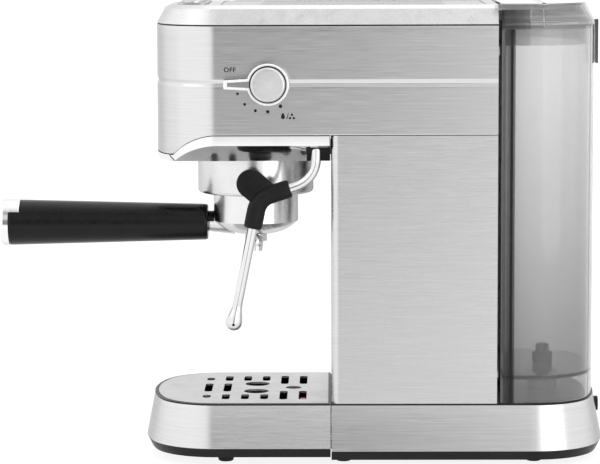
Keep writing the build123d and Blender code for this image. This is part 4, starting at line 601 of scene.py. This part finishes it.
# Printed marks. Black ink on the head's right side: the closed stop, five dots that grow with the flow,
# and the signs for water and steam.
ink = moulded_black("ink", (0.004,) * 3, (0.01,) * 3, 0.5, 0.2)
INK_ROOT, INK_LIFT = -0.05, 0.08
FLOW_DOTS = [
    (-91.1, 250.8, 0.85), (-86.4, 243.8, 0.92), (-79.3, 239.5, 1.0),
    (-71.1, 238.8, 1.15), (-62.6, 242.4, 1.25),
]
STEAM_DOTS = [(-56.3, 234.5, 0.8), (-53.8, 234.5, 0.8), (-55.0, 236.7, 0.8)]
for index, (y, z, r) in enumerate(FLOW_DOTS + STEAM_DOTS):
    dot_line = [(0, INK_ROOT), (r, INK_ROOT), (r, INK_LIFT), (0, INK_LIFT)]
    dot = turned(f"ink_dot_{index}", dot_line, "machine", (HEAD_HALF, y, z), (1, 0, 0), 28)
    dress(dot, ink)
STOP_Y, STOP_Z, LETTER_SIZE = -96.2, 266.5, 4.3
letters = bpy.data.curves.new("stop_letters", "FONT")
letters.body, letters.size, letters.space_character = "OFF", LETTER_SIZE * MM, 1.1
letters.align_x, letters.align_y = "CENTER", "CENTER"
letters.extrude, letters.offset = INK_LIFT * MM, 0.1 * MM
stencil = bpy.data.objects.new("stop_letters", letters)
bpy.context.scene.collection.objects.link(stencil)
bpy.context.view_layer.update()
stop_letters = bpy.data.objects.new("ink_off", bpy.data.meshes.new_from_object(stencil))
bpy.data.objects.remove(stencil)
side_on = Matrix(((0, 0, 1, HEAD_HALF * MM), (1, 0, 0, STOP_Y * MM), (0, 1, 0, STOP_Z * MM), (0, 0, 0, 1)))
stop_letters.data.transform(side_on)
bpy.context.scene.collection.objects.link(stop_letters)
dress(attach(stop_letters, "machine"), ink)
DROP_Y, DROP_Z, DROP_HALF, DROP_RISE = -61.0, 236.0, 1.7, 2.1


def drop_line():
    """Outline of the drop about its middle: (w sin t sin(t / 2), h cos t)."""
    t = np.linspace(0, 2 * pi, 48, endpoint=False)
    return np.stack([DROP_Y + DROP_HALF * np.sin(t) * np.sin(t / 2), DROP_Z + DROP_RISE * np.cos(t)], 1)


slash_line = [(-58.7, 234.0), (-58.2, 234.0), (-57.1, 237.6), (-57.6, 237.6)]
for name, outline in (("ink_drop", drop_line()), ("ink_slash", slash_line)):
    sign = straight_bar(name, outline, "X", HEAD_HALF + INK_ROOT, HEAD_HALF + INK_LIFT, "machine")
    dress(sign, ink)

# Steam wand. A stainless tube bent twice, hung in a black socket, with a bulb-shaped tip welded to its end.
# A silicone sleeve with a ribbed thumb paddle keeps the fingers off the hot tube.
WAND_X, WAND_Y, TUBE_R = 57.0, -39.0, 3.3
TOP, KNEE, BEND, END = np.array([(WAND_Y, 222), (WAND_Y, 192.6), (-77.6, 180.4), (-95.7, 91.1)])
KNEE_CUT, BEND_CUT = 16.1, 8.9
down = (END - BEND) / np.linalg.norm(END - BEND)
back = (KNEE - BEND) / np.linalg.norm(KNEE - BEND)
wand_chrome = polished_steel("wand_chrome", 0.72, 0.06)


def tube(name, line, radius, body, steps=40):
    """Tube round a line in the plane X = WAND_X: C(s) + r(s) (cos a x + sin a n(s)), n square to the line.
    Flat caps shut its ends."""
    step = np.gradient(line, axis=0)
    step /= np.maximum(np.linalg.norm(step, axis=1, keepdims=True), 1e-9)
    n = np.stack([-step[:, 1], step[:, 0]], 1)
    a = np.linspace(0, 2 * pi, steps, endpoint=False)
    r = np.asarray(radius, float)[:, None]
    beside = line[:, None] + (r * np.sin(a))[..., None] * n[:, None]
    points = np.concatenate([(WAND_X + r * np.cos(a))[..., None], beside], 2)
    return surface(name, points, body, wrap_v=True, ends=True, sharp=40.0)


def evenly(way, count):
    """Points at equal steps along a line."""
    run = np.concatenate([[0], np.cumsum(np.linalg.norm(np.diff(way, axis=0), axis=1))])
    t = np.linspace(0, run[-1], count)
    return np.stack([np.interp(t, run, way[:, 0]), np.interp(t, run, way[:, 1])], 1)


def wand_line(first, last, count):
    """Stretch of the wand's line between two points of it, at equal steps."""
    corners, cuts = [first, BEND, last], [0, BEND_CUT, 0]
    if first[1] > KNEE[1]:
        corners.insert(1, KNEE)
        cuts.insert(1, KNEE_CUT)
    return evenly(softened(corners, cuts, 24), count)


TIP_LENGTH, TIP_R, TUBE_STEPS = 18.0, 5.5, 140
COLLAR_R, COLLAR_LOW, COLLAR_TOP = 4.2, 218.3, 220.1
tube_end = END - TIP_LENGTH * down
tube_run = wand_line(TOP, tube_end, TUBE_STEPS)
wand_tube = tube("wand_tube", tube_run, np.full(TUBE_STEPS, TUBE_R), "steam_wand")
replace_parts(dress(wand_tube, wand_chrome), "wand_pipe")
collar_line = softened(
    [(0, COLLAR_LOW), (COLLAR_R, COLLAR_LOW), (COLLAR_R, COLLAR_TOP), (0, COLLAR_TOP)], (0, 0.3, 0.3, 0),
)
dress(turned("wand_collar", collar_line, "steam_wand", (WAND_X, WAND_Y, 0)), wand_chrome)


def bulb_line():
    """Profile of the tip: a flare r0 + (r1 - r0) (3 f^2 - 2 f^3) at the height h f up to the shoulder h,
    and a half round (R cos a, h + R sin a)."""
    shoulder = TIP_LENGTH - TIP_R
    f = np.linspace(0, 1, 30)
    a = np.linspace(0, pi / 2, 14)[1:]
    flare = np.stack([TUBE_R + 0.1 + (TIP_R - 0.1 - TUBE_R) * (3 * f ** 2 - 2 * f ** 3), f * shoulder], 1)
    half_round = np.stack([TIP_R * np.cos(a), shoulder + TIP_R * np.sin(a)], 1)
    return np.vstack([[(0, 0)], flare, half_round])


tip_bulb = turned("tip_bulb", bulb_line(), "steam_wand", (WAND_X, *tube_end), (0, *down), steps=64)
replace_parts(dress(tip_bulb, wand_chrome), "wand_tip")
HOLE_R, HOLE_DROP = 0.95, 13.4
hole = (WAND_X, *(tube_end + HOLE_DROP * down))
hole_line = [(0, TIP_R - 0.5), (HOLE_R, TIP_R - 0.5), (HOLE_R, TIP_R), (0, TIP_R)]
# The steam hole is a black plug in the tip: painted shade where the hole is dark inside.
dress(turned("steam_hole_shade", hole_line, "steam_wand", hole, (1, 0, 0), 24), ink)
grip_silicone = soft_rubber("grip_silicone", (0.004,) * 3, (0.008,) * 3, 0.5)
SLEEVE_R, SLEEVE_BACK, SLEEVE_DOWN, SLEEVE_STEPS = 6.2, 22, 20.5, 60
sleeve_run = wand_line(BEND + SLEEVE_BACK * back, BEND + SLEEVE_DOWN * down, SLEEVE_STEPS)
from_end = np.minimum(np.arange(SLEEVE_STEPS), np.arange(SLEEVE_STEPS)[::-1])
end_ease = np.minimum(1, 0.86 + 0.14 * np.sqrt(from_end / 3))
sleeve = tube("grip_sleeve", sleeve_run, SLEEVE_R * end_ease, "steam_wand", steps=56)
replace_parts(dress(sleeve, grip_silicone), "wand_grip")
PADDLE, PADDLE_R, PADDLE_WEB, PADDLE_HALF = np.array((-82.8, 190.2)), 9.6, 10.2, 2.5
GRIP_PITCH, GRIP_LIFT, GRIP_REACH = 2.4, 0.28, 7.4


def paddle():
    """Grid of the thumb paddle: rings that shrink from its outline to its middle c on both faces,
    (x, c + s (edge - c)), with x eased at the rim and low ribs on the flat where cos(2 pi d / pitch) is high.
    The outline is a taut line round three circles: towards n it is c_i + r_i n of the furthest circle i."""
    middles, radii = np.array([PADDLE, BEND, BEND + PADDLE_WEB * back]), np.array([PADDLE_R, 5.4, 5.0])
    t = np.linspace(0, 2 * pi, 241)
    n = np.stack([np.cos(t), np.sin(t)], 1)
    furthest = np.argmax(n @ middles.T + radii, axis=1)
    edge = evenly(middles[furthest] + radii[furthest, None] * n, 161)[:-1]
    turn = np.linspace(0, pi / 2, 8)[1:]
    s = np.concatenate([np.linspace(0, 0.9, 46), 0.9 + 0.1 * np.sin(turn)])
    swell = np.concatenate([np.full(46, PADDLE_HALF), PADDLE_HALF - 1.2 * (1 - np.cos(turn))])
    s, side = np.concatenate([s, s[::-1]]), np.concatenate([swell, -swell[::-1]])
    from_middle = s[:, None, None] * (edge - PADDLE)[None]
    d = from_middle @ np.array([0.5, 0.86])
    ribbed = (np.cos(2 * pi * d / GRIP_PITCH) > 0.2) * (np.linalg.norm(from_middle, axis=2) < GRIP_REACH)
    x = WAND_X + side[:, None] + np.sign(side)[:, None] * GRIP_LIFT * ribbed
    return np.concatenate([x[..., None], PADDLE + from_middle], 2)


thumb_paddle = surface("thumb_paddle", paddle(), "steam_wand", wrap_v=True)
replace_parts(dress(thumb_paddle, grip_silicone), "wand_grip")

# Pump and hoses. A grey moulded pump stands between rubber pads in a folded cradle inside the column.
# Pale silicone hoses bring it water from the tank's port and take it up to the thermoblock.
pump_grey = moulded_black("pump_grey", (0.08, 0.08, 0.085), (0.13, 0.13, 0.14), 0.5)
dress(nodes["pump"], pump_grey)
hose_silicone = soft_rubber("hose_silicone", (0.5, 0.5, 0.47), (0.66, 0.66, 0.62), 0.45)
for node in ("inlet_hose", "pressure_hose"):
    dress(nodes[node], hose_silicone)


# Water tank. A smoke-tinted clear vessel, moulded in one piece, that stands on the deck behind the column.
# Its front corners are tinted darker as painted shade, an upright rib stiffens each, and a fixed top with a
# hinged lid closes it.
def tones(tree, source, stops):
    """Tone that goes through stops of (value, tone) as a value grows. The stops' span fills the whole ramp,
    because a ramp holds only 256 tones and narrow bands would blur on a part of it."""
    start, end = stops[0][0], stops[-1][0]
    stretch = tree.nodes.new("ShaderNodeMapRange")
    stretch.inputs["From Min"].default_value, stretch.inputs["From Max"].default_value = start, end
    tree.links.new(source, stretch.inputs["Value"])
    ramp = tree.nodes.new("ShaderNodeValToRGB")
    first, last = ramp.color_ramp.elements
    first.color, last.color = (stops[0][1],) * 3 + (1,), (stops[-1][1],) * 3 + (1,)
    for value, tone in stops[1:-1]:
        ramp.color_ramp.elements.new((value - start) / (end - start)).color = (tone, tone, tone, 1)
    tree.links.new(stretch.outputs["Result"], ramp.inputs["Fac"])
    return ramp.outputs["Color"]


def smoke_clear(name, upwards, backwards):
    """Tinted clear plastic: the tint is one tone along Z times another along Y, at places in metres,
    and the gloss has faint flow marks."""
    material, tree, shader = new_finish(name, Transmission_Weight=0.86, IOR=1.25)
    place = tree.nodes.new("ShaderNodeTexCoord")
    parts = tree.nodes.new("ShaderNodeSeparateXYZ")
    tree.links.new(place.outputs["Object"], parts.inputs["Vector"])
    tint = tree.nodes.new("ShaderNodeMix")
    tint.data_type, tint.blend_type = "RGBA", "MULTIPLY"
    tint.inputs["Factor"].default_value = 1.0
    tree.links.new(tones(tree, parts.outputs["Z"], upwards), tint.inputs["A"])
    tree.links.new(tones(tree, parts.outputs["Y"], backwards), tint.inputs["B"])
    tree.links.new(tint.outputs["Result"], shader.inputs["Base Color"])
    shade(tree, grain(tree, (60, 60, 25)), shader.inputs["Roughness"], 0.03, 0.06)
    return material


# The tank's tint paints light: dark bands at the front corners are painted shade, the brighter middle of the
# sides is a painted highlight, and it is lighter towards the top.
tank_smoke = smoke_clear(
    "tank_smoke", [(0.05, 0.7), (0.057, 0.7), (0.06, 0.535), (0.16, 0.73), (0.26, 0.855)],
    [(0.0843, 0.34), (0.085, 0.18), (0.0866, 0.14), (0.087, 0.34), (0.0879, 0.34), (0.0886, 0.24),
     (0.0902, 0.2), (0.0905, 0.1), (0.0918, 0.1), (0.0921, 0.24), (0.0932, 0.26), (0.0935, 0.84),
     (0.095, 0.87), (0.1, 0.92), (0.112, 1.0), (0.142, 0.95), (0.1505, 0.8)],
)
dress(nodes["tank_body"], tank_smoke)
# The lid's tint runs in darker bands across its height: the band under the rim's overhang is a painted
# shadow, and the darker front is painted shade.
lid_smoke_and_painted_shade = smoke_clear(
    "lid_smoke_and_painted_shade",
    [(0.2935, 0.67), (0.294, 0.45), (0.295, 0.45), (0.2956, 0.68), (0.2967, 0.68), (0.2972, 0.5),
     (0.3003, 0.5), (0.3006, 0.66), (0.3013, 0.66), (0.3017, 0.52), (0.3058, 0.52), (0.3064, 0.6),
     (0.3096, 0.6)],
    [(0.0985, 0.4), (0.1, 0.52), (0.103, 0.56), (0.1035, 0.92), (0.1500, 1.0), (0.1508, 0.14)],
)
for node in ("tank_top", "tank_lid"):
    dress(nodes[node], lid_smoke_and_painted_shade)
RIB_INNER, RIB_OUTER, RIB_FRONT, RIB_REAR, RIB_FOOT, RIB_TOP = 48.0, 59.95, 90.8, 92.0, 66, 281
rib_smoke = smoke_clear("rib_smoke", [(0.06, 0.3), (0.28, 0.06)], [(0.08, 1.0), (0.1, 1.0)])
for side in (-1, 1):
    x0, x1 = sorted((side * RIB_INNER, side * RIB_OUTER))
    corners = [(x0, RIB_FRONT), (x1, RIB_FRONT), (x1, RIB_REAR), (x0, RIB_REAR)]
    rib_line = softened(corners, 0.35, 5, closed=True)
    rib = straight_bar(f"tank_rib_{side}", rib_line, "Z", RIB_FOOT, RIB_TOP, "water_tank")
    dress(rib, rib_smoke)

# Lid rim. A lip along the upper edges of the tank's fixed top and of its hinged lid, moulded with them,
# tinted pale as a painted highlight.
# It laps over the cap at the front, and it narrows and runs out towards the rear.
RIM_LOW, RIM_TOP, RIM_WIDTH, RIM_DRAW, RIM_DROP = 305.7, 309.5, 5.0, 4.3, 2.6
LID_HALF, LID_TIP = 63.0, 151.5
FRONT_RIM_Y, REAR_RIM_Y, RIM_STEPS = (79.4, 109.6), (114.3, 141.0), 12


def rim_grid(path, out, fade):
    """Grid of the lip: a softened rectangle carried along the plan line. Its outer face draws in by w f,
    and its top drops by h f, as the fade f goes from 0 to 1."""
    section = [(0, 0), (0, 1), (-1, 1), (-1, 0)]
    across, up = softened(section, (0.08, 0.16, 0.08, 0.08), closed=True).T[:, None]
    offset = across * RIM_WIDTH - 0.1 - RIM_DRAW * fade[:, None]
    z = RIM_LOW + up * (RIM_TOP - RIM_LOW - RIM_DROP * fade[:, None])
    return np.concatenate([path[:, None] + out[:, None] * offset[..., None], z[..., None]], 2)


# The lip's pale tint is a painted highlight of its top edge.
lip_painted_highlight = smoke_clear("lip_painted_highlight", [(0.3, 0.8), (0.31, 0.8)], [(0.08, 0.9), (0.15, 0.8)])
top_path = np.stack([np.full(RIM_STEPS, LID_HALF), np.linspace(*FRONT_RIM_Y, RIM_STEPS)], 1)
top_out = np.tile((1.0, 0.0), (RIM_STEPS, 1))
lid_path, lid_out = wrap_path(LID_HALF, LID_TIP, REAR_RIM_Y[0])
along = (lid_path[:, 1] < REAR_RIM_Y[1]) & (lid_path[:, 0] > 0)
lid_path, lid_out = lid_path[along], lid_out[along]
lid_fade = ((lid_path[:, 1] - REAR_RIM_Y[0]) / (REAR_RIM_Y[1] - REAR_RIM_Y[0])) ** 2
for side in (-1, 1):
    mirror = np.array((side, 1))
    for name, body, path, out, fade in (
        (f"front_rim_{side}", "water_tank", top_path, top_out, np.zeros(RIM_STEPS)),
        (f"rear_rim_{side}", "tank_lid", lid_path, lid_out, lid_fade),
    ):
        rim = surface(name, rim_grid(path * mirror, out * mirror, fade), body, wrap_v=True, ends=True)
        dress(rim, lip_painted_highlight)

# Outlet. The tank plugs into a black moulded port on the deck, whose pin holds the valve's poppet open.
# A grey moulded strainer stands over the outlet inside the tank.
tank_black = moulded_black("tank_black")
for node in ("tank_port", "tank_valve"):
    dress(nodes[node], tank_black)
OUTLET_Y = 117
filter_grey = moulded_black("filter_grey", (0.05,) * 3, (0.09,) * 3, 0.45)
filter_line = softened(
    [(0, 60.5), (7, 60.5), (7, 67.5), (4.6, 67.5), (4.6, 72.4), (3.4, 73.2), (0, 73.2)],
    (0, 0.4, 0.8, 0.5, 0.6, 0.4, 0),
)
tank_strainer = turned("tank_strainer", filter_line, "water_tank", (0, OUTLET_Y, 0), steps=64)
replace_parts(dress(tank_strainer, filter_grey), "tank_filter")

# Studio. A pale lit table that ends just in front of the object, light from all round, and a greyer upright
# stretch behind the camera that the flat steel sides mirror. The camera stands at the photograph's angle.
floor = bpy.data.objects.new("floor", bpy.data.meshes.new("floor"))
floor.data.from_pydata([(-40, -20, 0), (0.3, -20, 0), (0.3, 20, 0), (-40, 20, 0)], [], [(0, 1, 2, 3)])
bpy.context.scene.collection.objects.link(floor)
floor_pale, tree, shader = new_finish(
    "floor_pale", Specular_IOR_Level=0.2, Emission_Color=(1, 1, 1, 1), Emission_Strength=0.88,
)
shade(tree, grain(tree, (3, 3, 3)), shader.inputs["Base Color"], (0.14,) * 3, (0.16,) * 3)
shade(tree, grain(tree, (30, 30, 30)), shader.inputs["Roughness"], 0.7, 0.8)
dress(floor, floor_pale)

world = bpy.data.worlds.new("studio")
bpy.context.scene.world = world
world.use_nodes = True
sky = world.node_tree
toward = sky.nodes.new("ShaderNodeTexCoord")
parts = sky.nodes.new("ShaderNodeSeparateXYZ")
sky.links.new(toward.outputs["Generated"], parts.inputs["Vector"])
grey_upwards = [
    (-0.24, 1.0), (-0.17, 0.52), (-0.12, 0.46), (-0.06, 0.22), (0.2, 0.23),
    (0.4, 0.6), (0.6, 0.6), (0.8, 0.31), (1.0, 0.9),
]
white_sideways = [
    (-0.238, 1.0), (-0.148, 0.0), (0.044, 0.0), (0.054, 0.12),
    (0.06, 0.3), (0.067, 0.42), (0.071, 0.6), (0.085, 1.0),
]
grey = tones(sky, parts.outputs["Z"], grey_upwards)
beside = tones(sky, parts.outputs["Y"], white_sideways)
behind = sky.nodes.new("ShaderNodeMath")
behind.operation = "LESS_THAN"
behind.inputs[1].default_value = 0.0
sky.links.new(parts.outputs["X"], behind.inputs[0])
lit = sky.nodes.new("ShaderNodeMath")
lit.operation = "MAXIMUM"
sky.links.new(beside, lit.inputs[0])
sky.links.new(behind.outputs["Value"], lit.inputs[1])
mix = sky.nodes.new("ShaderNodeMix")
mix.data_type = "RGBA"
sky.links.new(lit.outputs["Value"], mix.inputs["Factor"])
sky.links.new(grey, mix.inputs["A"])
mix.inputs["B"].default_value = (1, 1, 1, 1)
sky.links.new(mix.outputs["Result"], sky.nodes["Background"].inputs["Color"])
sky.nodes["Background"].inputs["Strength"].default_value = 1.25


def soft_light(name, place, target, size, power):
    """Soft light of a rectangular size at a place, turned towards a target."""
    lamp = bpy.data.lights.new(name, "AREA")
    lamp.shape, lamp.size, lamp.size_y = "RECTANGLE", *size
    lamp.energy = power
    holder = bpy.data.objects.new(name, lamp)
    holder.location = place
    holder.rotation_euler = (Vector(target) - Vector(place)).to_track_quat("-Z", "Y").to_euler()
    bpy.context.scene.collection.objects.link(holder)


soft_light("front_light", (0.9, -1.6, 1.5), (0, 0, 0.15), (1.4, 1.4), 2)
soft_light("rear_light", (1.71, 1.3, 0.5), (0.05, 0.13, 0.1), (1.5, 1.3), 9)
soft_light("top_light", (-0.6, 0.2, 2.2), (0, 0, 0.15), (1.6, 1.6), 3)

FRAME_PX, SHIFT_PX, FOCAL_PX, SENSOR = 600, 33, 2728.4, 36.0
TILT, YAW, ROLL = radians(6.7), np.arctan(SHIFT_PX / FOCAL_PX), radians(-0.2)
STAND = (1.8715, -0.02806, 0.3708)
ahead = np.array([-cos(YAW) * cos(TILT), -sin(YAW) * cos(TILT), -sin(TILT)])
right = np.cross(ahead, (0, 0, 1))
right /= np.linalg.norm(right)
up = np.cross(right, ahead)
across = cos(ROLL) * right + sin(ROLL) * up
upwards = -sin(ROLL) * right + cos(ROLL) * up
lens = bpy.data.cameras.new("camera")
lens.sensor_width = SENSOR
lens.lens = SENSOR * FOCAL_PX / FRAME_PX
camera = bpy.data.objects.new("camera", lens)
bpy.context.scene.collection.objects.link(camera)
pose = Matrix.Identity(4)
for column, axis in enumerate((across, upwards, -ahead, STAND)):
    pose.col[column][:3] = axis
camera.matrix_world = pose
bpy.context.scene.camera = camera
bpy.context.scene.view_settings.view_transform = "Standard"
